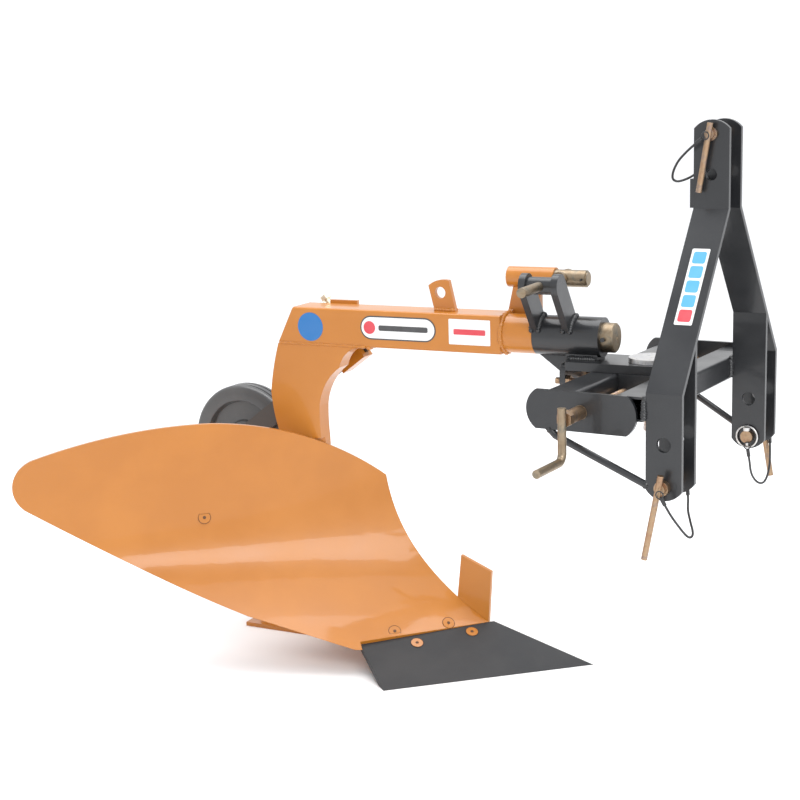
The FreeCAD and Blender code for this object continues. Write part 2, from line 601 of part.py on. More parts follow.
collar_y = right_bush_out - s.face_gap
hexagon_y = collar_y - s.crank_collar_long
hexagon_out = hexagon_y - s.crank_hexagon_tall
screw_far = left_bush_out + s.crank_nut_tall + 2 * s.face_gap
node("crank_screw", group("crank_screw", [
    rod("screw", (screw_x, collar_y, screw_z), (screw_x, screw_far + s.screw_dia / 4, screw_z), s.screw_dia / 2)]))
node("crank_collar", joined("crank_collar", [
    rod("collar_round", (screw_x, collar_y, screw_z), (screw_x, hexagon_y, screw_z), s.crank_collar_dia / 2),
    hexagon("collar_hexagon", (screw_x, hexagon_y, screw_z), (screw_x, hexagon_out, screw_z), s.crank_nut_flats)]))
bar_y = hexagon_out - s.crank_bar_dia / 2
grip_z = screw_z - s.crank_throw
node("crank_handle", joined("crank_handle", [
    rod("crank_bar", (screw_x, bar_y, screw_z + s.crank_bar_rise), (screw_x, bar_y, grip_z + s.crank_bend),
        s.crank_bar_dia / 2),
    ring("crank_bar_bend", (screw_x, bar_y - s.crank_bend, grip_z + s.crank_bend), s.crank_bend,
         s.crank_bar_dia / 2, 0, s.right_angle, s.right_angle),
    rod("crank_grip", (screw_x, bar_y - s.crank_bend, grip_z), (screw_x, bar_y - s.crank_grip_reach, grip_z),
        s.crank_bar_dia / 2)]))
far_nut = hexagon("far_nut", (screw_x, left_bush_out + s.face_gap, screw_z),
                  (screw_x, left_bush_out + s.face_gap + s.crank_nut_tall, screw_z), s.crank_nut_flats)
node("crank_nut", cut("crank_nut", far_nut, [
    rod("far_nut_bore", (screw_x, left_bush_out - s.overrun, screw_z), (screw_x, screw_far + s.overrun, screw_z),
        s.screw_dia / 2)]))

carriage_front = s.front_bar_x - s.crossbar_wide - s.face_gap
carriage_back = rear_bar_x + s.face_gap
carriage_mid = (carriage_front + carriage_back) / 2
half_long = s.carriage_long / 2
turret_low_z = s.crossbar_top_z + s.face_gap
flange_top = crossbar_low_z - s.face_gap
carriage = joined("carriage_whole", [
    block("carriage_web", (carriage_back, -half_long, flange_top - s.carriage_flange_thick),
          (carriage_front, half_long, s.crossbar_top_z)),
    block("carriage_flange", (carriage_mid - s.carriage_flange_wide / 2, -half_long,
                              flange_top - s.carriage_flange_thick),
          (carriage_mid + s.carriage_flange_wide / 2, half_long, flange_top))])
node("carriage_block", cut("carriage_block", carriage, [
    rod("carriage_thread", (screw_x, -half_long - s.overrun, screw_z), (screw_x, half_long + s.overrun, screw_z),
        s.screw_dia / 2 + s.running_play),
    rod("carriage_pin_hole", (s.pivot_x, 0, flange_top - s.carriage_flange_thick - s.overrun),
        (s.pivot_x, 0, s.crossbar_top_z + s.overrun), s.pivot_dia / 2)]))

turret_top_z = turret_low_z + s.turret_thick
head_z = turret_top_z + s.face_gap
node("pivot_pin", joined("pivot_pin", [
    rod("pivot_shank", (s.pivot_x, 0, s.pivot_low_z), (s.pivot_x, 0, head_z), s.pivot_dia / 2),
    rod("pivot_head", (s.pivot_x, 0, head_z), (s.pivot_x, 0, head_z + s.pivot_head_thick), s.pivot_head_dia / 2)]))
washer_top = flange_top - s.carriage_flange_thick
nut_top = washer_top - s.pivot_washer_thick
node("pivot_nut", cut("pivot_nut", joined("pivot_nut_whole", [
    rod("pivot_washer", (s.pivot_x, 0, nut_top), (s.pivot_x, 0, washer_top), s.pivot_washer_dia / 2),
    hexagon("pivot_hexagon", (s.pivot_x, 0, nut_top - s.pivot_nut_tall), (s.pivot_x, 0, nut_top),
            s.pivot_nut_flats)]), [
    rod("pivot_nut_bore", (s.pivot_x, 0, s.pivot_low_z), (s.pivot_x, 0, washer_top + s.overrun),
        s.pivot_dia / 2)]))

# Turret, in the beam's frame: plate, stop lug with its two screws, gusset, tube and tilt lugs

half_turret = s.turret_wide / 2
beam_node("turret_plate", plate("turret_plate", "XY_Plane", turret_low_z, turret_top_z, [
    (s.turret_back_x, -half_turret), (0, -half_turret), *round_end((0, -half_turret), (0, half_turret)),
    (s.turret_back_x, half_turret)], [(0, 0, s.pivot_dia / 2 + s.running_play)]))

lug_back = s.turret_back_x - s.stop_lug_thick
lug_mid_z = s.stop_lug_high_z - s.stop_lug_corner
beam_node("stop_lug", plate("stop_lug", "YZ_Plane", lug_back, s.turret_back_x, rounded(
    -half_turret, half_turret, s.stop_lug_low_z, s.stop_lug_high_z, s.stop_lug_corner),
    [(side * s.stop_screw_y, s.stop_screw_z, s.stop_screw_dia / 2 + s.running_play) for side in (-1, 1)]))

screw_edge_y = s.stop_screw_y + s.stop_screw_dia / 2
rear_bar_back = rear_bar_x - s.crossbar_wide
screw_tip = (rear_bar_back - s.face_gap - s.pivot_x - sine(s.beam_yaw) * screw_edge_y) / cosine(s.beam_yaw)
screw_tail = lug_back - s.stop_screw_tail
nuts = []
for name, side in (("right", -1), ("left", 1)):
    y = side * s.stop_screw_y
    shank = rod(f"stop_screw_shank_{name}", (screw_tail, y, s.stop_screw_z), (screw_tip, y, s.stop_screw_z),
                s.stop_screw_dia / 2)
    beam_node(f"stop_screw_{name}", group(f"stop_screw_{name}", [shank]))
    nut = hexagon(f"stop_nut_{name}", (s.turret_back_x, y, s.stop_screw_z),
                  (s.turret_back_x + s.stop_nut_tall, y, s.stop_screw_z), s.stop_nut_flats)
    bore = rod(f"stop_nut_bore_{name}", (s.turret_back_x - s.overrun, y, s.stop_screw_z),
               (s.turret_back_x + s.stop_nut_tall + s.overrun, y, s.stop_screw_z),
               s.stop_screw_dia / 2 + s.running_play)
    nuts.append(cut(f"stop_nut_ring_{name}", nut, [bore]))
beam_node("stop_screw_nuts", group("stop_screw_nuts", nuts))


def tube_rod(name, radius, back=s.tube_back_x, front=s.tube_front_x):
    return rod(name, (back, 0, s.axis_z), (front, 0, s.axis_z), radius)


saddle = block("tube_saddle", (lug_back, -s.saddle_wide / 2, turret_top_z),
               (s.saddle_front_x, s.saddle_wide / 2, s.axis_z))
beam_node("pivot_tube", cut("pivot_tube", joined("tube_whole", [tube_rod("tube_wall", s.tube_dia / 2), saddle]), [
    tube_rod("tube_bore", s.main_pin_dia / 2 + s.running_play, s.tube_back_x - s.overrun,
             s.tube_front_x + s.overrun)]))

gusset = plate("gusset_web", "XZ_Plane", -s.gusset_thick / 2, s.gusset_thick / 2, [
    (s.gusset_back_x, s.axis_z), (s.gusset_back_x, s.axis_z - s.tube_dia / 2), (lug_back, s.gusset_low_z),
    (lug_back, s.axis_z)])
beam_node("turret_gusset", cut("turret_gusset", gusset, [tube_rod(
    "gusset_room", s.tube_dia / 2, s.tube_back_x - s.overrun, s.tube_front_x + s.overrun)]))

lean_y, lean_z = s.trunnion_y, s.trunnion_z - s.axis_z
lean_long = root(lean_y * lean_y + lean_z * lean_z)
side_y, side_z = s.lug_wide / 2 * lean_z / lean_long, -s.lug_wide / 2 * lean_y / lean_long
tilt_lugs = []
for name, front in (("front", s.lug_front_x), ("rear", s.lug_back_x + s.lug_thick)):
    top = [(s.trunnion_y + side_y, s.trunnion_z + side_z), (s.trunnion_y - side_y, s.trunnion_z - side_z)]
    ear = plate(f"tilt_lug_{name}", "YZ_Plane", front - s.lug_thick, front, [
        (-side_y, s.axis_z - side_z), (side_y, s.axis_z + side_z), top[0], *round_end(*top)],
        [(s.trunnion_y, s.trunnion_z, s.journal_dia / 2 + s.running_play)])
    tilt_lugs.append(cut(f"tilt_lug_cut_{name}", ear, [tube_rod(f"tilt_lug_room_{name}", s.tube_dia / 2)]))
beam_node("tilt_lugs", group("tilt_lugs", tilt_lugs))

# Tilt gear: the trunnion is the nut of the spindle, whose far end turns in the cross shaft on the beam

inner_front = s.lug_front_x - s.lug_thick - s.face_gap
inner_back = s.lug_back_x + s.lug_thick + s.face_gap
spindle_x = (inner_front + inner_back) / 2
slope = (s.shaft_z - s.trunnion_z) / (s.shaft_y - s.trunnion_y)


def on_spindle(y):
    """The point of the spindle's axis at a place across the plough."""
    return spindle_x, y, s.trunnion_z + (y - s.trunnion_y) * slope


trunnion = joined("trunnion_whole", [
    rod("trunnion_body", (inner_back, s.trunnion_y, s.trunnion_z), (inner_front, s.trunnion_y, s.trunnion_z),
        s.trunnion_dia / 2),
    rod("trunnion_journals", (s.lug_back_x, s.trunnion_y, s.trunnion_z),
        (s.lug_front_x, s.trunnion_y, s.trunnion_z), s.journal_dia / 2)])
beam_node("trunnion", cut("trunnion", trunnion, [
    rod("trunnion_thread", on_spindle(s.trunnion_y - s.trunnion_dia), on_spindle(s.trunnion_y + s.trunnion_dia),
        s.spindle_dia / 2 + s.running_play)]))
collar_gap = s.shaft_dia / 2 + s.spindle_play
collars = []
for name, near, far in (("near", s.shaft_y - collar_gap - s.spindle_collar_thick, s.shaft_y - collar_gap),
                        ("far", s.shaft_y + collar_gap, s.shaft_y + collar_gap + s.spindle_collar_thick)):
    collars.append(rod(f"spindle_collar_{name}", on_spindle(near), on_spindle(far), s.spindle_collar_dia / 2))
beam_node("tilt_spindle", joined("tilt_spindle", [
    rod("spindle_bar", on_spindle(s.spindle_tail_y), on_spindle(s.spindle_nose_y), s.spindle_dia / 2)] + collars))


def shaft_rod(name, back, front, radius):
    return rod(name, (back, s.shaft_y, s.shaft_z), (front, s.shaft_y, s.shaft_z), radius)


shaft = joined("cross_shaft_whole", [
    shaft_rod("cross_shaft_bar", s.shaft_back_x, s.shaft_front_x - s.shaft_chamfer, s.shaft_dia / 2),
    shaft_rod("cross_shaft_nose", s.shaft_front_x - s.shaft_chamfer, s.shaft_front_x,
              s.shaft_dia / 2 - s.shaft_chamfer)])
shaft_pin_ends = [(s.shaft_pin_x, s.shaft_y + side * s.shaft_pin_long / 2, s.shaft_z) for side in (-1, 1)]
beam_node("cross_shaft", cut("cross_shaft", shaft, [
    rod("shaft_spindle_hole", on_spindle(s.shaft_y - s.shaft_dia), on_spindle(s.shaft_y + s.shaft_dia),
        s.spindle_dia / 2 + s.spindle_play),
    rod("shaft_pin_hole", *shaft_pin_ends, s.shaft_pin_dia / 2)]))
beam_node("cross_shaft_pin", group("cross_shaft_pin", [rod("shaft_pin", *shaft_pin_ends, s.shaft_pin_dia / 2)]))
beam_node("shaft_tube", cut("shaft_tube", shaft_rod(
    "shaft_tube_wall", s.shaft_tube_back_x, s.shaft_tube_front_x, s.shaft_tube_dia / 2), [
    shaft_rod("shaft_tube_bore", s.shaft_tube_back_x + s.overrun, s.shaft_tube_front_x + s.overrun,
              s.shaft_dia / 2 + s.running_play)]))

# Beam: main pin with its keeper, round socket, square tube, shaft bracket and lifting eye

half_beam = s.beam_side / 2
beam_top, beam_low = s.axis_z + half_beam, s.axis_z - half_beam
keeper_ends = [(s.keeper_x, side * s.keeper_long / 2, s.axis_z) for side in (-1, 1)]
beam_node("main_pin", cut("main_pin", tube_rod(
    "main_pin_bar", s.main_pin_dia / 2, s.main_pin_back_x, s.main_pin_front_x), [
    rod("keeper_hole", *keeper_ends, s.keeper_dia / 2)]))
beam_node("main_pin_keeper", group("main_pin_keeper", [rod("keeper", *keeper_ends, s.keeper_dia / 2)]))
socket_front = s.tube_back_x - s.face_gap
beam_node("beam_socket", cut("beam_socket", tube_rod(
    "socket_bar", s.socket_dia / 2, s.socket_back_x, socket_front), [
    tube_rod("socket_bore", s.main_pin_dia / 2, s.main_pin_back_x, socket_front + s.overrun)]))

tail_long = s.socket_back_x - s.beam_tail_low_x
beam_outer = plate("beam_outer", "YZ_Plane", s.beam_tail_low_x, s.socket_back_x, rounded(
    -half_beam, half_beam, beam_low, beam_top, s.beam_corner))
beam_bore = plate("beam_bore", "YZ_Plane", s.beam_tail_low_x - s.overrun, s.socket_back_x - s.beam_wall, rounded(
    -half_beam + s.beam_wall, half_beam - s.beam_wall, beam_low + s.beam_wall, beam_top - s.beam_wall,
    s.beam_bore_corner))
tail_cut = plate("beam_tail_cut", "XZ_Plane", -s.beam_side, s.beam_side, [
    (s.beam_tail_low_x, beam_low), (s.beam_tail_top_x, beam_top), (s.beam_tail_top_x, beam_top + s.beam_side),
    (s.beam_tail_low_x - s.beam_side, beam_top + s.beam_side), (s.beam_tail_low_x - s.beam_side, beam_low)])
beam_node("beam_tube", cut("beam_tube", beam_outer, [beam_bore, tail_cut]))
tail_slope = (s.beam_tail_top_x - s.beam_tail_low_x) / s.beam_side
cap_wall = s.beam_wall - s.face_gap
cap_low, cap_high = beam_low + s.beam_wall + s.face_gap, beam_top - s.beam_wall - s.face_gap
cap_half = half_beam - s.beam_wall - s.face_gap
beam_node("beam_end_cap", plate("beam_end_cap", "XZ_Plane", -cap_half, cap_half, [
    (s.beam_tail_low_x + (cap_low - beam_low) * tail_slope, cap_low),
    (s.beam_tail_low_x + (cap_low - beam_low) * tail_slope + cap_wall, cap_low),
    (s.beam_tail_low_x + (cap_high - beam_low) * tail_slope + cap_wall, cap_high),
    (s.beam_tail_low_x + (cap_high - beam_low) * tail_slope, cap_high)]))

bracket = plate("bracket_web", "XZ_Plane", s.shaft_y - s.bracket_thick / 2, s.shaft_y + s.bracket_thick / 2, [
    (s.bracket_low_x, beam_top), (s.socket_back_x, beam_top), (s.socket_back_x, s.bracket_low_z),
    (s.bracket_front_x, s.bracket_low_z), (s.bracket_front_x, s.shaft_z), (s.bracket_high_x, s.shaft_z)])
beam_node("shaft_bracket", cut("shaft_bracket", bracket, [
    shaft_rod("bracket_room", s.shaft_tube_back_x - s.overrun, s.shaft_tube_front_x + s.overrun,
              s.shaft_tube_dia / 2),
    tube_rod("bracket_socket_room", s.socket_dia / 2, s.socket_back_x, s.tube_back_x)]))

half_eye, half_top = s.eye_base_long / 2, s.eye_top_long / 2
beam_node("lifting_eye", plate("lifting_eye", "XZ_Plane", -s.eye_plate_thick / 2, s.eye_plate_thick / 2, [
    (s.eye_base_x - half_eye, beam_top), (s.eye_base_x + half_eye, beam_top),
    (s.eye_top_x + half_top, s.eye_top_z + s.eye_top_fall / 2),
    (s.eye_top_x - half_top, s.eye_top_z - s.eye_top_fall / 2, s.eye_crown)],
    [(s.eye_x, s.eye_z, s.eye_hole_dia / 2)]))

# Leg: a thick plate below the beam, its outline in shares of the leg's height and of its top length

leg_tall, leg_long = beam_low - s.leg_low_z, s.leg_front_x - s.leg_back_x
leg_shares = [
    # back from the front of the leg's top, down from the beam; the last is the swell of the arc
    (1.0, 0.0), (1.108, 0.195, 0.012), (1.04, 0.347, 0.012), (1.062, 0.542), (0.945, 0.75),
    (0.66, 0.954), (0.55, 1.0), (0.052, 1.0), (0.34, 0.893), (0.605, 0.707), (0.66, 0.542), (0.545, 0.43),
    (0.55, 0.371), (0.555, 0.243, -0.006), (0.314, 0.085, -0.05), (0.0, 0.0, -0.075)]
leg_outline = []
for back, down, *swell in leg_shares:
    leg_outline.append((s.leg_front_x - leg_long * back, beam_low - leg_tall * down,
                        *[leg_long * v for v in swell]))
leg_blank = plate("leg_blank", "XZ_Plane", -half_beam, -half_beam + s.leg_thick, leg_outline)


# Mouldboard: level straight lines that start on the shin and swing round as they climb

def shin_x(z):
    """How far forward the shin is at a height."""
    return s.shin_crest_x + s.shin_run * power(
        (s.shin_crest_z - z) / (s.shin_crest_z - s.shin_foot_z), s.shin_power)


def shin_slope(z):
    """How fast the shin runs back with height."""
    span = s.shin_crest_z - s.shin_foot_z
    return s.shin_run * s.shin_power / span * power((s.shin_crest_z - z) / span, s.shin_power - 1)


def swing(z):
    """The angle between the board's level line at a height and the furrow wall."""
    if z.value < s.waist_z.value:
        share = (s.waist_z - z) / (s.waist_z - s.shin_foot_z)
        return s.waist_angle + s.foot_twist * share * share
    share = (z - s.waist_z) / (s.board_tall - s.waist_z)
    return s.waist_angle + s.crown_twist * power(share, s.crown_power)


def on_board(reach, z, behind=0):
    """A point of the board's face, reach along its level line, or behind it on the back."""
    angle = swing(z)
    return (shin_x(z) - reach * cosine(angle) - behind * sine(angle),
            s.land_y - reach * sine(angle) + behind * cosine(angle), z)


def board_layer(name, near, far, front, back, height_shares):
    """A skin between two depths behind the board's face, lofted through level sections.

    The sections lie at shares of the board's height. A skin with no near reach starts on the shin,
    where it is cut along the landside's plane.
    """
    body = doc.addObject("PartDesign::Body", name)
    sections = []
    for index, share in enumerate(height_shares):
        z = s.board_tall * share
        incline = shin_slope(z) * sine(swing(z))
        level = root(1 + incline * incline)
        if near is None:
            nose = sine(swing(z))
            starts = [(shin_x(z) - depth * level / nose, s.land_y) for depth in (front, back)]
        else:
            starts = [on_board(near, z, depth * level)[:2] for depth in (front, back)]
        ends = [on_board(far, z, depth * level)[:2] for depth in (front, back)]
        sketch = new_sketch(body, f"{name}_section_{index}", "XY_Plane", z)
        trace(sketch, [starts[0], starts[1], ends[1], ends[0]])
        sections.append(sketch)
    loft = body.newObject("PartDesign::AdditiveLoft", name + "_loft")
    loft.Profile = sections[0]
    loft.Sections = sections[1:]
    return body


bolt_proud = s.board_thick / 8
board_height_shares = (0.04, 0.11, 0.18, 0.26, 0.35, 0.45, 0.56, 0.67, 0.79, 0.9, 1.02)
board_sheet = board_layer("board_sheet", None, s.board_reach, size(0), s.board_thick, board_height_shares)
board_outline_shares = [
    # along the board and up, from below the shin round the wing; the third is the swell of the arc
    (-0.035, 0.043), (0.306, 0.103), (0.523, 0.231), (0.978, 0.69, 0.0165), (0.958, 0.907, 0.032),
    (0.5755, 0.9957, 0.018), (0.1813, 0.709, 0.0304), (-0.035, 0.709)]
board_outline = [(s.board_long * along, s.board_tall * up, *[s.board_long * v for v in swell])
                 for along, up, *swell in board_outline_shares]
board_prism = plate("board_prism", "XZ_Plane", -s.board_long, s.board_long, board_outline)
place(board_prism, (s.outline_x, s.land_y, 0), s.outline_angle + s.full_turn / 2)
board_body = common("board_body", board_sheet, board_prism)

# Share: a flat plate drawn in its own plane, X along the cutting edge and Y down the slope


def in_share_plane(obj):
    place(obj, (s.share_tip_x, s.share_tip_y, 0), s.share_angle + s.full_turn / 2, 0, -s.share_tilt_angle)


def on_share(along, up, above=0):
    """A point by its distance along the cutting edge, up the slope, and above the share's face."""
    level = up * cosine(s.share_tilt_angle) - above * sine(s.share_tilt_angle)
    return (s.share_tip_x - along * cosine(s.share_angle) - level * sine(s.share_angle),
            s.share_tip_y - along * sine(s.share_angle) + level * cosine(s.share_angle),
            up * sine(s.share_tilt_angle) + above * cosine(s.share_tilt_angle))


share_outline = [(0, 0), (s.share_land_run, -s.share_land_wide), (s.share_wing_run, -s.share_wing_wide),
                 (s.share_edge_long, 0)]
share_blank = plate("share_blank", "XY_Plane", -s.share_thick, 0, share_outline)
in_share_plane(share_blank)
room_outline = [(-s.share_edge_long, s.share_edge_long), (-s.share_edge_long, -s.share_land_wide
                + (s.share_wing_wide - s.share_land_wide) / (s.share_wing_run - s.share_land_run)
                * (s.share_edge_long + s.share_land_run)),
                (s.share_wing_run, -s.share_wing_wide), (s.share_wing_run, s.share_edge_long)]
share_room = plate("share_room", "XY_Plane", -s.share_land_wide, s.share_land_wide, room_outline)
in_share_plane(share_room)
below_ground = block("below_ground", (s.landside_back_x, -s.board_long, -s.share_edge_long),
                     (0, s.board_long, 0))

# Plough bolts: countersunk heads flush in the board and the share, nuts behind


def board_bolt(reach, z):
    """Ends of a bolt through the board: just proud of its face, and behind it."""
    incline = shin_slope(z) * sine(swing(z))
    level = root(1 + incline * incline)
    angle = swing(z)
    ends = []
    for depth in (-bolt_proud, s.plough_bolt_long):
        x, y, _ = on_board(reach, z)
        ends.append((x - depth * sine(angle) / level, y + depth * cosine(angle) / level,
                     z - depth * incline / level))
    return ends


def share_bolt(along, up):
    return [on_share(along, up, bolt_proud), on_share(along, up, -s.plough_bolt_long)]


board_bolt_shares = {"low_outer": (0.21, 0.138), "low_inner": (0.083, 0.14)}
share_bolt_shares = {"share_outer": (0.775, 0.9), "share_inner": (0.5, 1.0)}
bolt_places = {"wing": board_bolt(s.strut_reach, s.strut_z)}
for name, (along, up) in board_bolt_shares.items():
    bolt_places[name] = board_bolt(s.board_long * along, s.board_tall * up)
for name, (along, up) in share_bolt_shares.items():
    bolt_places[name] = share_bolt(s.share_edge_long * along, s.share_wing_wide * up)
bolts, bolt_rooms = [], []
for name, (start, end) in bolt_places.items():
    head_end = between(start, end, s.plough_bolt_head_thick / s.plough_bolt_long)
    nut_start = between(start, end, (s.board_thick + s.frog_face_thick + s.plough_bolt_head_thick)
                        / s.plough_bolt_long)
    nut_end = between(nut_start, end, s.plough_nut_thick / s.plough_bolt_long * 2)
    bolts.append(joined(f"bolt_{name}", [
        rod(f"bolt_head_{name}", start, head_end, s.plough_bolt_head / 2),
        rod(f"bolt_shank_{name}", start, nut_end, s.plough_bolt_dia / 2),
        rod(f"bolt_nut_{name}", nut_start, nut_end, s.plough_nut_dia / 2)]))
    bolt_rooms.append(joined(f"bolt_room_{name}", [
        rod(f"bolt_head_room_{name}", start, head_end, s.plough_bolt_head / 2),
        rod(f"bolt_shank_room_{name}", start, nut_end, s.plough_bolt_dia / 2 + s.pin_play),
        rod(f"bolt_nut_room_{name}", nut_start, end, s.plough_nut_dia / 2 + s.pin_play)]))
beam_node("plough_bolts", group("plough_bolts", bolts))
bolt_room = group("bolt_room", bolt_rooms)
beam_node("mouldboard", cut("mouldboard", board_body, [share_room, bolt_room]))
leg_room_height_shares = (0.04, 0.11, 0.18, 0.26, 0.35, 0.45, 0.56, 0.67, 0.79, 0.888)
leg_room = board_layer("leg_room", size(0), s.board_reach, -s.board_side_room, s.board_thick + s.seat_gap,
                       leg_room_height_shares)
beam_node("leg", cut("leg", leg_blank, [leg_room]))
beam_node("share", cut("share", share_blank, [below_ground, bolt_room]))

# Landside with its sole, the frog that ties leg, board and landside, the shin knife and the strut

land_out = s.land_y + s.landside_thick
nose_z = s.landside_tall / 2
landside_web = plate("landside_web", "XZ_Plane", s.land_y, land_out, [
    (s.landside_back_x, 0), (s.landside_nose_x, 0), (shin_x(s.shin_foot_z), nose_z),
    (shin_x(s.landside_tall), s.landside_tall), (s.landside_back_x, s.landside_tall)])
sole = block("landside_sole", (s.landside_back_x, land_out - s.sole_wide - s.landside_thick, 0),
             (s.frog_seat_x, land_out, s.sole_thick))
beam_node("landside", cut("landside", joined("landside_whole", [landside_web, sole]), [share_room]))

frog_height_shares = (0.14, 0.24, 0.34, 0.44)
frog_face = board_layer("frog_face", s.frog_face_start, s.frog_face_end, s.board_thick + s.seat_gap,
                        s.board_thick + s.frog_face_thick, frog_height_shares)
back_step = s.frog_thick * 3
frog_side = plate("frog_side", "XZ_Plane", s.land_y - s.frog_thick, s.land_y, [
    (s.frog_back_x, s.sole_thick), (shin_x(s.sole_thick) - back_step * 2, s.sole_thick),
    (shin_x(s.shin_foot_z) - back_step, s.shin_foot_z),
    (shin_x(s.landside_tall) - back_step, s.landside_tall),
    (shin_x(s.knife_top_z) - back_step, s.knife_top_z),
    (shin_x(s.frog_high_z) - back_step, s.frog_high_z), (s.frog_back_x, s.frog_high_z)])
frog_seat = block("frog_seat", (s.frog_back_x, -half_beam + s.leg_thick, s.frog_seat_low_z),
                  (s.frog_seat_x, s.land_y - s.frog_thick, s.frog_high_z))
frog_rib = block("frog_rib", (s.frog_seat_x, -half_beam + s.leg_thick, s.frog_seat_low_z),
                 (shin_x(s.frog_seat_low_z) - s.frog_rib_back, s.land_y - s.frog_thick,
                  s.frog_seat_low_z + s.frog_thick))
beam_node("frog", cut("frog", joined("frog_whole", [frog_side, frog_seat, frog_rib, frog_face]), [bolt_room]))

beam_node("shin_knife", cut("shin_knife", plate("knife_blade", "XZ_Plane", s.land_y, s.land_y + s.knife_thick, [
    (shin_x(s.shin_foot_z), nose_z), (s.knife_nose_x, s.knife_nose_z), (s.knife_back_top_x, s.knife_top_z),
    (s.knife_back_low_x, s.landside_tall), (shin_x(s.landside_tall), s.landside_tall)]), [share_room]))

strut_line = board_bolt(s.strut_reach, s.strut_z)
pad_share = (bolt_proud + s.board_thick + s.strut_seat) / s.plough_bolt_long
strut_pad_start = between(*strut_line, pad_share)
strut_pad_end = between(*strut_line, pad_share + s.strut_pad_thick / s.plough_bolt_long)
strut_foot = (s.strut_foot_x, -half_beam + s.strut_dia, s.strut_foot_z)
strut_trim = block("strut_trim", (s.leg_back_x - s.strut_dia * 2, -half_beam, s.leg_low_z),
                   (s.leg_front_x, half_beam, beam_low))
beam_node("board_strut", cut("board_strut", joined("strut_whole", [
    rod("strut_pad", strut_pad_start, strut_pad_end, s.strut_pad_dia / 2),
    rod("strut_bar", strut_pad_end, strut_foot, s.strut_dia / 2)]), [bolt_room, strut_trim]))

# Depth wheel: clamp on the beam's far side, sloping arm, axle and wheel

arm_run, arm_rise = cosine(s.arm_angle), sine(s.arm_angle)


def on_arm(reach, lift, y):
    """A point by its distance back along the arm, square above the arm's middle line, and across."""
    return (s.arm_clamp_x - reach * arm_run - lift * arm_rise, y,
            s.arm_clamp_z - reach * arm_rise + lift * arm_run)


def arm_block(name, near, far, low, high, y_low, y_high):
    """A box along the arm: between two reaches, two lifts and two places across."""
    box = doc.addObject("Part::Box", name)
    bind(box, "Length", size(far) - near)
    bind(box, "Width", size(y_high) - y_low)
    bind(box, "Height", size(high) - low)
    place(box, on_arm(far, low, y_low), 0, -s.arm_angle)
    return box


half_arm = s.arm_wide / 2
arm_far_y = s.arm_y + s.arm_thick
clamp_near, clamp_far = -s.clamp_long / 2, s.clamp_long / 2
clamp_in = half_arm + s.clamp_play
bolt_y = s.arm_y + s.arm_thick / 2
bolt_seat = clamp_in + s.clamp_wall
clamp_solid = joined("clamp_solid", [
    arm_block("clamp_shell", clamp_near, clamp_far, -bolt_seat, bolt_seat, half_beam,
              arm_far_y + s.clamp_play + s.clamp_wall),
    block("clamp_plate", (s.arm_clamp_x - s.clamp_long / 2, half_beam, s.clamp_plate_low_z),
          (s.arm_clamp_x + s.clamp_long / 2, half_beam + s.clamp_wall, s.clamp_plate_high_z)),
    rod("clamp_boss", on_arm(s.clamp_bolt_reach, bolt_seat, bolt_y),
        on_arm(s.clamp_bolt_reach, bolt_seat + s.clamp_boss_tall, bolt_y), s.clamp_bolt_head / 2)])
beam_node("wheel_clamp", cut("wheel_clamp", clamp_solid, [
    arm_block("clamp_way", clamp_near - s.arm_wide, clamp_far + s.arm_wide, -clamp_in, clamp_in,
              s.arm_y - s.clamp_play, arm_far_y + s.clamp_play),
    rod("clamp_bolt_hole", on_arm(s.clamp_bolt_reach, half_arm, bolt_y),
        on_arm(s.clamp_bolt_reach, s.clamp_bolt_long + half_arm, bolt_y), s.clamp_bolt_dia / 2)]))
bolt_tip, bolt_neck = half_arm + s.face_gap, half_arm + s.clamp_bolt_long
beam_node("clamp_bolt", joined("clamp_bolt", [
    rod("clamp_bolt_shank", on_arm(s.clamp_bolt_reach, bolt_tip, bolt_y),
        on_arm(s.clamp_bolt_reach, bolt_neck, bolt_y), s.clamp_bolt_dia / 2),
    hexagon("clamp_bolt_head", on_arm(s.clamp_bolt_reach, bolt_neck, bolt_y),
            on_arm(s.clamp_bolt_reach, bolt_neck + s.clamp_bolt_head_tall, bolt_y), s.clamp_bolt_head)]))

axle_x, _, axle_z = on_arm(s.axle_reach, 0, 0)
wheel_near = arm_far_y + s.axle_collar_thick + s.face_gap
wheel_far = wheel_near + s.hub_long


def axle_rod(name, near, far, dia):
    return rod(name, (axle_x, near, axle_z), (axle_x, far, axle_z), dia / 2)


arm_bar = arm_block("arm_bar", -s.arm_front_reach, s.axle_reach + half_arm, -half_arm, half_arm,
                    s.arm_y, arm_far_y)
beam_node("wheel_arm", cut("wheel_arm", arm_bar, [
    axle_rod("arm_axle_hole", s.arm_y - s.overrun, arm_far_y + s.overrun, s.axle_dia)]))
beam_node("wheel_axle", joined("wheel_axle", [
    axle_rod("axle_bar", s.arm_y, wheel_far + s.face_gap + s.axle_nut_tall, s.axle_dia),
    axle_rod("axle_collar", arm_far_y, arm_far_y + s.axle_collar_thick, s.axle_collar_dia),
    axle_rod("axle_nut", wheel_far + s.face_gap, wheel_far + s.face_gap + s.axle_nut_tall, s.axle_nut_dia)]))
half_rim, half_disc, half_hub = s.wheel_wide / 2, s.wheel_disc_thick / 2, s.hub_long / 2
rim_in, hub_out, bore = s.wheel_radius - s.wheel_rim_thick, s.hub_dia / 2, s.axle_dia / 2 + s.running_play
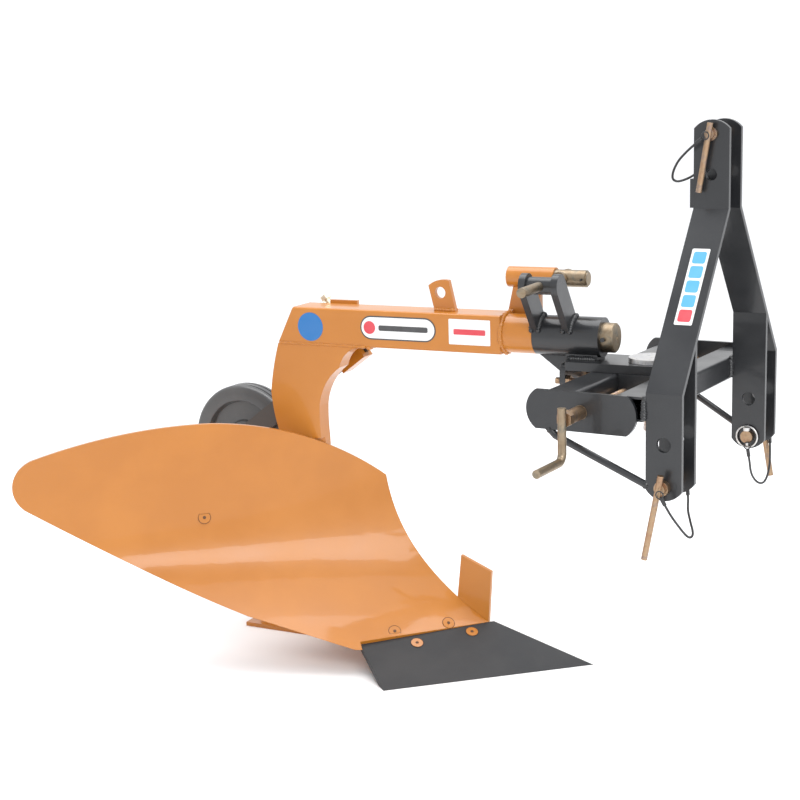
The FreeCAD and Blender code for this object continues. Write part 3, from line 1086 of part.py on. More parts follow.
wheel = turned("wheel_profile", [
    (bore, -half_hub), (hub_out, -half_hub), (hub_out, -half_disc), (rim_in, -half_disc), (rim_in, -half_rim),
    (s.wheel_radius, -half_rim + s.wheel_rim_thick, s.wheel_rim_thick / 4),
    (s.wheel_radius, half_rim - s.wheel_rim_thick), (rim_in, half_rim, s.wheel_rim_thick / 4),
    (rim_in, half_disc), (hub_out, half_disc), (hub_out, half_hub), (bore, half_hub)])
place(wheel, (axle_x, wheel_near + half_hub, axle_z), s.right_angle, s.right_angle)
beam_node("depth_wheel", group("depth_wheel", [wheel]))

# Tethers: coated wires that hang from each pin's handle to its linch pin

tether_routes = {
    "tether_top": [(-20, -48.4, 960), (-29, -47.9, 953), (-42, -42, 943), (-56, -34, 931), (-66, -27, 917),
                   (-71, -21.5, 906), (-71, -17, 899), (-65, -13.5, 896), (-57, -9, 898), (-48, -3, 902),
                   (-42, 6, 907), (-40, 18, 914), (-35, 31, 927), (-25, 39, 937), (-15, 43, 945)],
    "tether_right": [(11, -253, 412), (14.5, -248.7, 402), (19, -241, 389), (24, -232, 376),
                     (29, -223.5, 364), (33.5, -217, 355), (37.5, -211, 351), (39.5, -205, 354),
                     (37, -200, 361), (32, -194, 368), (27, -187.6, 376), (21.5, -180, 385),
                     (17, -169, 392), (14.5, -161, 398.5), (13.5, -160, 406)],
    "tether_left": [(6, 157.7, 400), (7.5, 159.5, 387), (6.5, 166, 374), (7, 174, 361),
                    (10.5, 182.5, 350), (15.5, 190, 343.5), (21, 196.5, 343.5), (24, 203, 350),
                    (25, 211, 361), (24.5, 220, 374), (21.5, 230, 387), (18.1, 240, 399.1),
                    (15.6, 246.5, 407.1)],
}


arc_share = 0.45


def cord_path(points):
    """Straight runs joined by tangent arcs, as edges, with the radii of the arcs and the length."""
    points = [FreeCAD.Vector(*p) for p in points]
    edges, radii, here = [], [], points[0]
    for before, at, after in zip(points, points[1:], points[2:]):
        back, on = before - at, after - at
        reach = arc_share * min(back.Length, on.Length)
        turn = math.pi - back.getAngle(on)
        radii.append(reach / math.tan(turn / 2))
        back.normalize()
        on.normalize()
        start, end = at + back * reach, at + on * reach
        middle_way = (back + on).normalize()
        middle = at + middle_way * (radii[-1] / math.cos(turn / 2) - radii[-1])
        edges += [Part.makeLine(here, start), Part.Arc(start, middle, end).toShape()]
        here = end
    edges.append(Part.makeLine(here, points[-1]))
    return edges, radii, sum(edge.Length for edge in edges)


fittings = []
for name, route in tether_routes.items():
    edges, radii, length = cord_path(route)
    path = Part.Wire(edges)
    radius = SIZES["tether_dia"] / 2
    start = FreeCAD.Vector(*route[0])
    circle = Part.Circle(start, FreeCAD.Vector(*route[1]) - start, radius)
    tube = path.makePipeShell([Part.Wire(circle.toShape())], True, False)
    cord = doc.addObject("Part::Feature", name)
    cord.Shape = tube
    ratio = tube.Volume / (math.pi * radius * radius * length)
    print(f"{name}: length {length:.1f} mm, volume over section times length {ratio:.4f},"
          f" arc radii {min(radii):.1f} to {max(radii):.1f} mm")
    node(name, cord)
    for at, (end, inner) in enumerate(((route[0], route[1]), (route[-1], route[-2]))):
        out = (FreeCAD.Vector(*end) - FreeCAD.Vector(*inner)).normalize()
        crimp_end = FreeCAD.Vector(*end) + out * SIZES["crimp_long"]
        eye_at = crimp_end + out * (SIZES["eye_radius"] + SIZES["eye_wire"] / 2)
        fittings.append(rod(f"{name}_crimp_{at}", end, tuple(crimp_end), s.crimp_dia / 2))
        fittings.append(ring(f"{name}_eye_{at}", tuple(eye_at), s.eye_radius, s.eye_wire, s.right_angle,
                             s.right_angle))
node("tether_fittings", group("tether_fittings", fittings))

# Checks and export

doc.recompute()
failed = [obj.Label for obj in doc.Objects if {"Invalid", "Error"} & set(obj.State)]
if failed:
    raise RuntimeError(f"these objects failed: {failed}")
os.makedirs("parts", exist_ok=True)
for obj in nodes:
    shape = obj.Shape
    if shape.isNull() or not shape.isValid() or not shape.Solids:
        raise RuntimeError(f"{obj.Label} has no valid solid")
    shape.exportStep(f"parts/{obj.Label}.step")
print(len(nodes), "pieces written")
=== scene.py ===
"""Mounted single furrow plough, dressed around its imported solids.

The solids keep their places and sizes. Each sub-assembly is a class that gives its solids their finish
and adds what they leave out: weld beads, threads, turned ends, labels and the tethers.
"""
from __future__ import annotations

import json
import logging
import math
import random
from collections.abc import Callable, Iterable, Sequence
from dataclasses import dataclass, field
from enum import Enum

import bpy
from mathutils import Matrix, Vector

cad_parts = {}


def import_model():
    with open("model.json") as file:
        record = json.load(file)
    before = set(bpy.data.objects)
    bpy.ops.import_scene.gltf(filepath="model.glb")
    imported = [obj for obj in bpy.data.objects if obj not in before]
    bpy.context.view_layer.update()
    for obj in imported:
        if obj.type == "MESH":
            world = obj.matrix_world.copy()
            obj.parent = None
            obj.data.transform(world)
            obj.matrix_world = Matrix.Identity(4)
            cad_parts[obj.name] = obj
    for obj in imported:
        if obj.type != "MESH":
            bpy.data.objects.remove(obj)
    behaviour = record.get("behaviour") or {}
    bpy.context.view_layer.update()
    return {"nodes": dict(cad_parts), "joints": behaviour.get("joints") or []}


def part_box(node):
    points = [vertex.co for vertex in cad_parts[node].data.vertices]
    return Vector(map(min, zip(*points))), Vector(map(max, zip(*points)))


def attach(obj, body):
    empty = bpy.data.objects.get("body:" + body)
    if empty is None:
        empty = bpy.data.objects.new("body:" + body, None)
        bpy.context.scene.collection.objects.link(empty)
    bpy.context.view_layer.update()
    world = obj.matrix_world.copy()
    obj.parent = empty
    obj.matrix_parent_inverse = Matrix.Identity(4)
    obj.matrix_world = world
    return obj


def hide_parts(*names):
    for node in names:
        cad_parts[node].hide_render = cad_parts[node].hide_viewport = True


LOG = logging.getLogger("plough")
FULL_TURN = 2 * math.pi
Colour = tuple[float, float, float, float]


class Body(Enum):
    """The bodies that move with the plough's joints."""

    HEADSTOCK = "headstock"
    CRANK = "crank"
    CARRIAGE = "carriage"
    TURRET = "turret"
    RIGHT_STOP = "right_stop"
    LEFT_STOP = "left_stop"
    TRUNNION = "trunnion_body"
    SPINDLE = "spindle"
    SHAFT = "tilt_shaft"
    PLOUGH = "plough_body"
    CARRIER = "wheel_carrier"
    WHEEL = "wheel"


class Slot(Enum):
    """The finishes that the record names."""

    HEADSTOCK = "headstock_paint"
    ZINC = "zinc_yellow"
    BRIGHT = "bright_steel"
    PLOUGH = "plough_paint"
    SHARE = "share_steel"
    CREAM = "zinc_cream"
    WHEEL = "wheel_paint"
    CORD = "cord_cover"


@dataclass(frozen=True)
class Wire:
    """One output socket of a finish, which takes part in sums as a number does."""

    mixer: Mixer
    socket: bpy.types.NodeSocket

    def _sum(self, operation: str, *values: Wire | float) -> Wire:
        """Add the Math node of one operation and give its result."""
        return self.mixer.node("ShaderNodeMath", {"operation": operation}, dict(enumerate(values)))

    def __add__(self, other: Wire | float) -> Wire:
        """Add a number or a socket."""
        return self._sum("ADD", self, other)

    def __radd__(self, other: float) -> Wire:
        """Add to a number."""
        return self._sum("ADD", other, self)

    def __mul__(self, other: Wire | float) -> Wire:
        """Multiply by a number or a socket."""
        return self._sum("MULTIPLY", self, other)

    def __rmul__(self, other: float) -> Wire:
        """Multiply a number."""
        return self._sum("MULTIPLY", other, self)


class Mixer:
    """Mixes one finish: its material, its shader and the nodes that feed it."""

    def __init__(self, name: str, **constants: float | Colour) -> None:
        """Start a finish.

        Args:
            name: The material's name.
            constants: Values of the shader that are the same all over, by their sockets' names
                with an underscore for each blank.
        """
        self.material = bpy.data.materials.new(name)
        self.material.use_nodes = True
        self.tree = self.material.node_tree
        self.tree.nodes.clear()
        self.shader = self.tree.nodes.new("ShaderNodeBsdfPrincipled")
        output = self.tree.nodes.new("ShaderNodeOutputMaterial")
        self.tree.links.new(self.shader.outputs[0], output.inputs[0])
        self.set(**constants)

    def set(self, **values: Wire | float | Colour) -> None:
        """Feed the shader's sockets by name, with an underscore for each blank."""
        for name, value in values.items():
            self.feed(self.shader.inputs[name.replace("_", " ")], value)

    def feed(self, socket: bpy.types.NodeSocket, value: Wire | float | Sequence[float]) -> None:
        """Link a socket to a wire, or give it a fixed value."""
        if isinstance(value, Wire):
            self.tree.links.new(value.socket, socket)
        else:
            socket.default_value = value

    def node(self, kind: str, settings: dict | None = None, inputs: dict | None = None,
             output: int | str = 0) -> Wire:
        """Add a node.

        Args:
            kind: The node's type.
            settings: Properties of the node, set before its sockets.
            inputs: Values or wires for its sockets, by name or number.
            output: Which of its outputs is wanted.

        Returns:
            The wire from that output.
        """
        made = self.tree.nodes.new(kind)
        for name, value in (settings or {}).items():
            setattr(made, name, value)
        for name, value in (inputs or {}).items():
            self.feed(made.inputs[name], value)
        return Wire(self, made.outputs[output])

    def place(self, centre: Sequence[float] = (0, 0, 0), turn: float = 0,
              stretch: Sequence[float] = (1, 1, 1)) -> Wire:
        """Object coordinates counted from a centre, turned about Z and stretched."""
        here = self.node("ShaderNodeTexCoord", output="Object")
        moved = self.node("ShaderNodeVectorMath", {"operation": "SUBTRACT"}, {0: here, 1: tuple(centre)})
        return self.node("ShaderNodeMapping", {}, {"Vector": moved, "Rotation": (0, 0, turn),
                                                   "Scale": tuple(stretch)})

    def noise(self, size: float, detail: float = 3.0, vector: Wire | None = None, rough: float = 0.5,
              twist: float = 0.0) -> Wire:
        """Cloudy noise whose patches are about a size across, from 0 to 1."""
        return self.node("ShaderNodeTexNoise", {}, {
            "Vector": vector or self.place(), "Scale": 1 / size, "Detail": detail, "Roughness": rough,
            "Distortion": twist})

    def ramp(self, value: Wire, *stops: tuple[float, Colour]) -> Wire:
        """Colours along a value, from at least two stops of place and colour."""
        made = self.tree.nodes.new("ShaderNodeValToRGB")
        elements = made.color_ramp.elements
        while len(elements) < len(stops):
            elements.new(1.0)
        for element, (place, colour) in zip(elements, stops):
            element.position, element.color = place, colour
        self.feed(made.inputs[0], value)
        return Wire(self, made.outputs[0])

    def step(self, value: Wire, low: float, high: float) -> Wire:
        """A smooth step: 0 below low and 1 above high."""
        return self.node("ShaderNodeMapRange", {"interpolation_type": "SMOOTHSTEP"}, {
            "Value": value, "From Min": low, "From Max": high})

    def blend(self, share: Wire | float, first: Wire | Colour, second: Wire | Colour) -> Wire:
        """The first colour where the share is 0, the second where it is 1."""
        return self.node("ShaderNodeMix", {"data_type": "RGBA"}, {0: share, 6: first, 7: second}, 2)

    def relief(self, height: Wire, depth: float, arris: float = 0.0, share: float = 1.0) -> Wire:
        """A normal from a height of 0 to 1.

        Args:
            height: The height of the surface.
            depth: What a height of 1 stands for, in metres.
            arris: The radius of the rounding that light finds on sharp edges.
            share: The strength of the relief.

        Returns:
            The wire of the normal.
        """
        inputs = {"Height": height, "Distance": depth, "Strength": share}
        if arris:
            inputs["Normal"] = self.node("ShaderNodeBevel", {"samples": 4}, {"Radius": arris})
        return self.node("ShaderNodeBump", {}, inputs)


@dataclass(frozen=True)
class GlossPaint:
    """Gloss paint sprayed on steel, with orange peel, thin and thick places and a little dust."""

    name: str
    colour: Colour
    thin: Colour
    dust: Colour
    roughness: float = 0.22
    dulled: float = 0.12
    peel_size: float = 0.0035
    peel_depth: float = 0.00006
    wave_size: float = 0.045
    wave_depth: float = 0.0005
    dust_share: float = 0.25
    arris: float = 0.0011
    coat: float = 0.55
    shine: float = 0.5

    def mix(self) -> bpy.types.Material:
        """Make the material."""
        pot = Mixer(self.name, Coat_Weight=self.coat, Coat_Roughness=0.06,
                    Specular_IOR_Level=self.shine)
        cloud = pot.noise(0.11, 4.0)
        speck = pot.noise(0.0016, 2.0)
        peel = pot.noise(self.peel_size, 1.5)
        wave = pot.noise(self.wave_size, 2.0)
        coat = pot.blend(pot.step(cloud, 0.35, 0.7), self.colour, self.thin)
        dusty = pot.step(speck, 0.62, 0.8) * self.dust_share * pot.step(cloud, 0.3, 0.8)
        height = peel * (self.peel_depth / self.wave_depth) + wave
        pot.set(Base_Color=pot.blend(dusty, coat, self.dust),
                Roughness=self.roughness + self.dulled * pot.step(cloud, 0.3, 0.75) + 0.06 * speck,
                Normal=pot.relief(height, self.wave_depth, self.arris))
        return pot.material


@dataclass(frozen=True)
class ZincPlate:
    """Zinc plating whose passivation shifts between two or three tints, over machining marks."""

    name: str
    tints: tuple[Colour, Colour, Colour]
    roughness: float = 0.3
    patch: float = 0.016
    grain: tuple[float, float, float] = (1.0, 1.0, 1.0)
    arris: float = 0.0005

    def mix(self) -> bpy.types.Material:
        """Make the material."""
        pot = Mixer(self.name, Metallic=1.0, Specular_IOR_Level=0.5)
        film = pot.noise(self.patch, 3.0, twist=0.8)
        stain = pot.noise(0.005, 4.0)
        marks = pot.noise(0.0011, 3.0, pot.place(stretch=self.grain))
        tint = pot.ramp(film, (0.3, self.tints[0]), (0.5, self.tints[1]), (0.68, self.tints[2]))
        dark = pot.blend(0.35 * pot.step(stain, 0.52, 0.75), tint, (0.16, 0.12, 0.08, 1))
        pot.set(Base_Color=dark, Roughness=self.roughness + 0.18 * stain + 0.08 * film,
                Normal=pot.relief(marks, 0.00012, self.arris, 0.6))
        return pot.material


@dataclass(frozen=True)
class PlainCoat:
    """Printed vinyl or moulded plastic of one colour, with a fine tooth."""

    name: str
    colour: Colour
    roughness: float = 0.35
    tooth: float = 0.0009
    fade: float = 0.08

    def mix(self) -> bpy.types.Material:
        """Make the material."""
        pot = Mixer(self.name, Specular_IOR_Level=0.45)
        cloud = pot.noise(0.03, 3.0)
        tooth = pot.noise(self.tooth, 2.0)
        faded = tuple(value + (1 - value) * self.fade for value in self.colour[:3]) + (1.0,)
        pot.set(Base_Color=pot.blend(cloud, self.colour, faded), Roughness=self.roughness + 0.1 * tooth,
                Normal=pot.relief(tooth, 0.00003))
        return pot.material


class Finishes:
    """Every finish of the plough, each mixed once."""

    def __init__(self) -> None:
        """Mix them all."""
        self.charcoal = GlossPaint("charcoal_paint", (0.014, 0.015, 0.017, 1), (0.021, 0.022, 0.024, 1),
                                   (0.12, 0.115, 0.11, 1), roughness=0.26, peel_depth=0.00008,
                                   coat=0.3).mix()
        self.orange = GlossPaint("orange_paint", (0.47, 0.164, 0.014, 1), (0.51, 0.184, 0.019, 1),
                                 (0.62, 0.36, 0.20, 1), roughness=0.26, dust_share=0.12, coat=0.38).mix()
        self.share = GlossPaint("share_paint", (0.040, 0.041, 0.043, 1), (0.055, 0.055, 0.056, 1),
                                (0.15, 0.145, 0.14, 1), roughness=0.46, wave_depth=0.0009,
                                dust_share=0.3, coat=0.0, shine=0.22).mix()
        self.wheel = GlossPaint("wheel_paint", (0.045, 0.045, 0.046, 1), (0.075, 0.074, 0.073, 1),
                                (0.25, 0.24, 0.22, 1), roughness=0.36, dust_share=0.5).mix()
        self.arm = GlossPaint("arm_paint", (0.050, 0.041, 0.035, 1), (0.065, 0.055, 0.048, 1),
                              (0.18, 0.15, 0.12, 1), roughness=0.4, dust_share=0.4, coat=0.2).mix()
        self.zinc = ZincPlate("yellow_zinc", ((0.27, 0.20, 0.13, 1), (0.33, 0.26, 0.18, 1),
                                              (0.22, 0.20, 0.16, 1))).mix()
        self.copper_zinc = ZincPlate("copper_zinc", ((0.36, 0.22, 0.14, 1), (0.42, 0.29, 0.18, 1),
                                                     (0.30, 0.22, 0.19, 1)), roughness=0.28).mix()
        self.bright = ZincPlate("bright_steel", ((0.62, 0.61, 0.58, 1), (0.68, 0.67, 0.66, 1),
                                                 (0.56, 0.56, 0.58, 1)), roughness=0.24).mix()
        self.cream = ZincPlate("cream_zinc", ((0.74, 0.66, 0.46, 1), (0.80, 0.74, 0.58, 1),
                                              (0.68, 0.62, 0.50, 1)), roughness=0.3).mix()
        self.cord = PlainCoat("cord_plastic", (0.012, 0.012, 0.013, 1), roughness=0.32, fade=0.03).mix()
        # Painted shade: dark orange-brown for the shade round the plough bolt heads and in their sockets.
        self.gap = PlainCoat("bolt_gap_shade", (0.10, 0.040, 0.012, 1), roughness=0.6, fade=0.02).mix()
        self.white = PlainCoat("label_white", (0.80, 0.80, 0.79, 1)).mix()
        self.blue = PlainCoat("label_blue", (0.012, 0.15, 0.42, 1), fade=0.03).mix()
        self.sky = PlainCoat("label_sky", (0.07, 0.36, 0.68, 1)).mix()
        self.red = PlainCoat("label_red", (0.62, 0.03, 0.05, 1)).mix()
        self.ink = PlainCoat("label_ink", (0.03, 0.03, 0.032, 1)).mix()


@dataclass(frozen=True)
class Places:
    """Where the plough's own measuring lines lie in the frame."""

    hitch: Vector
    pivot: Vector
    yaw: float

    @staticmethod
    def read(joints: Iterable[dict]) -> Places:
        """Read the hitch from the mast's legs and the beam's line from the joint it tilts on."""
        low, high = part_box("mast_leg_right")[0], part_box("mast_leg_left")[1]
        tilt = next(joint for joint in joints if joint["name"] == "beam_tilt")
        return Places(Vector(((low.x + high.x) / 2, (low.y + high.y) / 2, 0)),
                      Vector((tilt["pos_m"][0], tilt["pos_m"][1], 0)),
                      math.atan2(tilt["axis"][1], tilt["axis"][0]))

    def at_hitch(self, x: float, y: float, z: float) -> Vector:
        """A point counted from the ground between the lower pins."""
        return self.hitch + Vector((x, y, z))

    def on_beam(self, x: float, y: float, z: float) -> Vector:
        """A point counted from the upright pivot, with X along the beam."""
        return self.pivot + Matrix.Rotation(self.yaw, 3, "Z") @ Vector((x, y, z))

    def beam_way(self, x: float, y: float, z: float) -> Vector:
        """A direction in the beam's frame."""
        return Matrix.Rotation(self.yaw, 3, "Z") @ Vector((x, y, z))


class Bench:
    """The tools that the sub-assemblies are made with."""

    def __init__(self, nodes: dict[str, bpy.types.Object]) -> None:
        """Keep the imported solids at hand."""
        self.nodes = nodes

    @staticmethod
    def hold(obj: bpy.types.Object) -> None:
        """Select one piece alone and make it the active one."""
        bpy.ops.object.select_all(action="DESELECT")
        obj.select_set(True)
        bpy.context.view_layer.objects.active = obj

    @staticmethod
    def raw(name: str, points: Sequence[Vector], edges: Sequence[tuple[int, int]] = (),
            faces: Sequence[Sequence[int]] = ()) -> bpy.types.Object:
        """A new object from points, edges and faces."""
        mesh = bpy.data.meshes.new(name)
        mesh.from_pydata([tuple(point) for point in points], edges, faces)
        obj = bpy.data.objects.new(name, mesh)
        bpy.context.scene.collection.objects.link(obj)
        return obj

    def tidy(self, obj: bpy.types.Object, angle: float = 0.6) -> None:
        """Merge doubles, turn the faces outwards and smooth all but the sharp edges."""
        self.hold(obj)
        bpy.ops.object.mode_set(mode="EDIT")
        bpy.ops.mesh.select_all(action="SELECT")
        bpy.ops.mesh.remove_doubles(threshold=1e-6)
        bpy.ops.mesh.normals_make_consistent(inside=False)
        bpy.ops.object.mode_set(mode="OBJECT")
        bpy.ops.object.shade_smooth_by_angle(angle=angle)

    def sleeve(self, name: str, path: Sequence[Vector], radius: Callable[[float, float], float],
               rings: int, sides: int = 12, closed: bool = False) -> bpy.types.Object:
        """Wrap a grid round a line.

        Args:
            name: The piece's name.
            path: The points of the line.
            radius: The radius at a share of the way and an angle round the line.
            rings: How many steps along the line.
            sides: How many steps round it.
            closed: Whether the line is a loop.

        Returns:
            The closed sleeve.
        """
        spots = self.spread(path, rings, closed)
        ways = [(after - before).normalized() for before, after in zip(spots, spots[1:])]
        ways.append(ways[0] if closed else ways[-1])
        across = ways[0].orthogonal().normalized()
        bpy.ops.object.select_all(action="DESELECT")
        bpy.ops.mesh.primitive_grid_add(x_subdivisions=sides, y_subdivisions=rings, size=1)
        obj = bpy.context.object
        for index, (spot, way) in enumerate(zip(spots, ways)):
            across = (across - way * across.dot(way)).normalized()
            beside = way.cross(across)
            for step in range(sides + 1):
                angle = FULL_TURN * step / sides
                reach = radius(index / rings, angle)
                obj.data.vertices[index * (sides + 1) + step].co = (
                    spot + (across * math.cos(angle) + beside * math.sin(angle)) * reach)
        obj.name = name
        self.hold(obj)
        bpy.ops.object.mode_set(mode="EDIT")
        bpy.ops.mesh.select_all(action="SELECT")
        bpy.ops.mesh.remove_doubles(threshold=1e-6)
        bpy.ops.mesh.fill_holes(sides=0)
        bpy.ops.object.mode_set(mode="OBJECT")
        self.tidy(obj, 0.9)
        return obj

    @staticmethod
    def spread(path: Sequence[Vector], count: int, closed: bool) -> list[Vector]:
        """Points at even steps along a line of straight runs."""
        line = list(path) + ([path[0]] if closed else [])
        reach = [0.0]
        for before, after in zip(line, line[1:]):
            reach.append(reach[-1] + (after - before).length)
        spots, run = [], 0
        for step in range(count + 1):
            want = reach[-1] * step / count
            while run < len(line) - 2 and reach[run + 1] < want:
                run += 1
            share = (want - reach[run]) / max(reach[run + 1] - reach[run], 1e-9)
            spots.append(line[run].lerp(line[run + 1], share))
        return spots

    def turned(self, name: str, profile: Sequence[tuple[float, float]], start: Vector, way: Vector,
               steps: int = 64) -> bpy.types.Object:
        """Spin a profile about a line.

        Args:
            name: The piece's name.
            profile: Radius and distance along the line, from one end of the profile to the other.
            start: Where the line starts.
            way: The line's direction.
            steps: How many steps round.

        Returns:
            The turned piece.
        """
        turn = way.normalized().to_track_quat("Z", "Y").to_matrix().to_4x4()
        seat = Matrix.Translation(start) @ turn
        points = [seat @ Vector((radius, 0, along)) for radius, along in profile]
        obj = self.raw(name, points, [(n, n + 1) for n in range(len(points) - 1)])
        self.hold(obj)
        bpy.ops.object.mode_set(mode="EDIT")
        bpy.ops.mesh.select_all(action="SELECT")
        bpy.ops.mesh.spin(steps=steps, angle=FULL_TURN, center=start, axis=way.normalized())
        bpy.ops.object.mode_set(mode="OBJECT")
        self.tidy(obj)
        return obj

    def plate(self, name: str, centre: Vector, along: Vector, up: Vector, size: tuple[float, float],
              corner: float, thick: float) -> bpy.types.Object:
        """A thin plate with round corners that stands on a face.

        Args:
            name: The piece's name.
            centre: The middle of its back.
            along: The direction of its length.
            up: The direction of its height; the plate faces the way of along across up.
            size: Length and height.
            corner: Radius of its corners.
            thick: How far it stands out.

        Returns:
            The plate.
        """
        bpy.ops.object.select_all(action="DESELECT")
        bpy.ops.mesh.primitive_plane_add(size=1)
        obj = bpy.context.object
        obj.name = name
        for vertex in obj.data.vertices:
            vertex.co = Vector((vertex.co.x * size[0], vertex.co.y * size[1], 0))
        bpy.ops.object.mode_set(mode="EDIT")
        bpy.ops.mesh.select_all(action="SELECT")
        bpy.ops.mesh.bevel(offset=corner * 0.999, segments=10, affect="VERTICES")
        bpy.ops.mesh.extrude_region_move(TRANSFORM_OT_translate={"value": (0, 0, thick)})
        bpy.ops.object.mode_set(mode="OBJECT")
        face = along.normalized().cross(up.normalized())
        seat = Matrix((along.normalized(), up.normalized(), face)).transposed().to_4x4()
        seat.translation = centre
        obj.data.transform(seat)
        self.tidy(obj, 0.5)
        return obj

    def bead(self, name: str, path: Sequence[Vector], radius: float, seed: int,
             closed: bool = False) -> bpy.types.Object:
        """A weld bead: a lumpy rope of ripples along a line, drawn in at its ends.

        Args:
            name: The piece's name.
            path: The points of the line.
            radius: The bead's mean radius.
            seed: Picks the swellings, so that no two beads are alike.
            closed: Whether the line is a loop.

        Returns:
            The bead.
        """
        luck = random.Random(seed)
        ripple = radius * 0.85
        long = sum((b - a).length for a, b in zip(path, path[1:]))
        rings = max(8, int(long / ripple * 5))
        swells = [1 + luck.uniform(-0.16, 0.2) for _ in range(int(long / ripple) + 3)]

        def reach(share: float, angle: float) -> float:
            """The bead's radius at a share of its length."""
            at = share * long / ripple
            low = int(at)
            swell = swells[low] + (swells[low + 1] - swells[low]) * (at - low)
            wave = 1 + 0.11 * math.sin(at * FULL_TURN + 0.6 * math.cos(angle))
            near_end = max(0.0, min(share, 1 - share)) * long / radius
            end = 1.0 if closed else min(1.0, math.sqrt(near_end) + 0.25)
            return radius * swell * wave * end

        return self.sleeve(name, path, reach, rings, 10, closed)

    @staticmethod
    def faces_of(solid: bpy.types.Object, side: Vector) -> list[tuple[Vector, Vector]]:
        """Find the end face that each loose bolt of a node turns to a side.

        Args:
            solid: The node's object, with bolts that touch nowhere.
            side: The direction that the wanted faces look in, roughly.

        Returns:
            The middle and the outward direction of each face.
        """
        seat = solid.matrix_world
        mesh = solid.data
        root = list(range(len(mesh.vertices)))

        def head(index: int) -> int:
            """The number that stands for a vertex's whole piece."""
            while root[index] != index:
                root[index] = root[root[index]]
                index = root[index]
            return index

        spots: dict[tuple, int] = {}
        for vertex in mesh.vertices:
            spot = tuple(round(value, 5) for value in vertex.co)
            root[vertex.index] = spots.setdefault(spot, vertex.index)
        for edge in mesh.edges:
            root[head(edge.vertices[0])] = head(edge.vertices[1])
        groups: dict[int, list[Vector]] = {}
        for vertex in mesh.vertices:
            groups.setdefault(head(vertex.index), []).append(seat @ vertex.co)
        found = []
        for points in groups.values():
            middle = sum(points, Vector()) / len(points)
            way = side.copy()
            for _ in range(40):
                pulls = ((point - middle) * (point - middle).dot(way) for point in points)
                way = sum(pulls, Vector()).normalized()
            way = way if way.dot(side) > 0 else -way
            reach = max((point - middle).dot(way) for point in points)
            face = [point for point in points if (point - middle).dot(way) > reach - 0.0002]
            found.append((sum(face, Vector()) / len(face), way))
        return sorted(found, key=lambda pair: tuple(pair[0]))

    def join(self, name: str, pieces: Sequence[bpy.types.Object]) -> bpy.types.Object:
        """Make several pieces one object."""
        self.hold(pieces[0])
        for piece in pieces:
            piece.select_set(True)
        if len(pieces) > 1:
            bpy.ops.object.join()
        joined = bpy.context.view_layer.objects.active
        joined.name = name
        return joined

    def dress(self, finish: bpy.types.Material, *names: str) -> None:
        """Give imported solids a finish."""
        for name in names:
            solid = self.nodes[name]
            for slot in solid.material_slots:
                slot.material = finish
            LOG.info("%s has %s", name, finish.name)

    def seat(self, obj: bpy.types.Object, body: Body, slot: Slot, finish: bpy.types.Material,
             *hides: str) -> bpy.types.Object:
        """Fasten a new piece to its body, with its finish and the solids that it stands for."""
        obj.data.name = obj.name
        obj.data.materials.clear()
        obj.data.materials.append(finish)
        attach(obj, body.value)
        if hides:
            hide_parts(*hides)
        LOG.info("%s rides on %s", obj.name, body.value)
        return obj


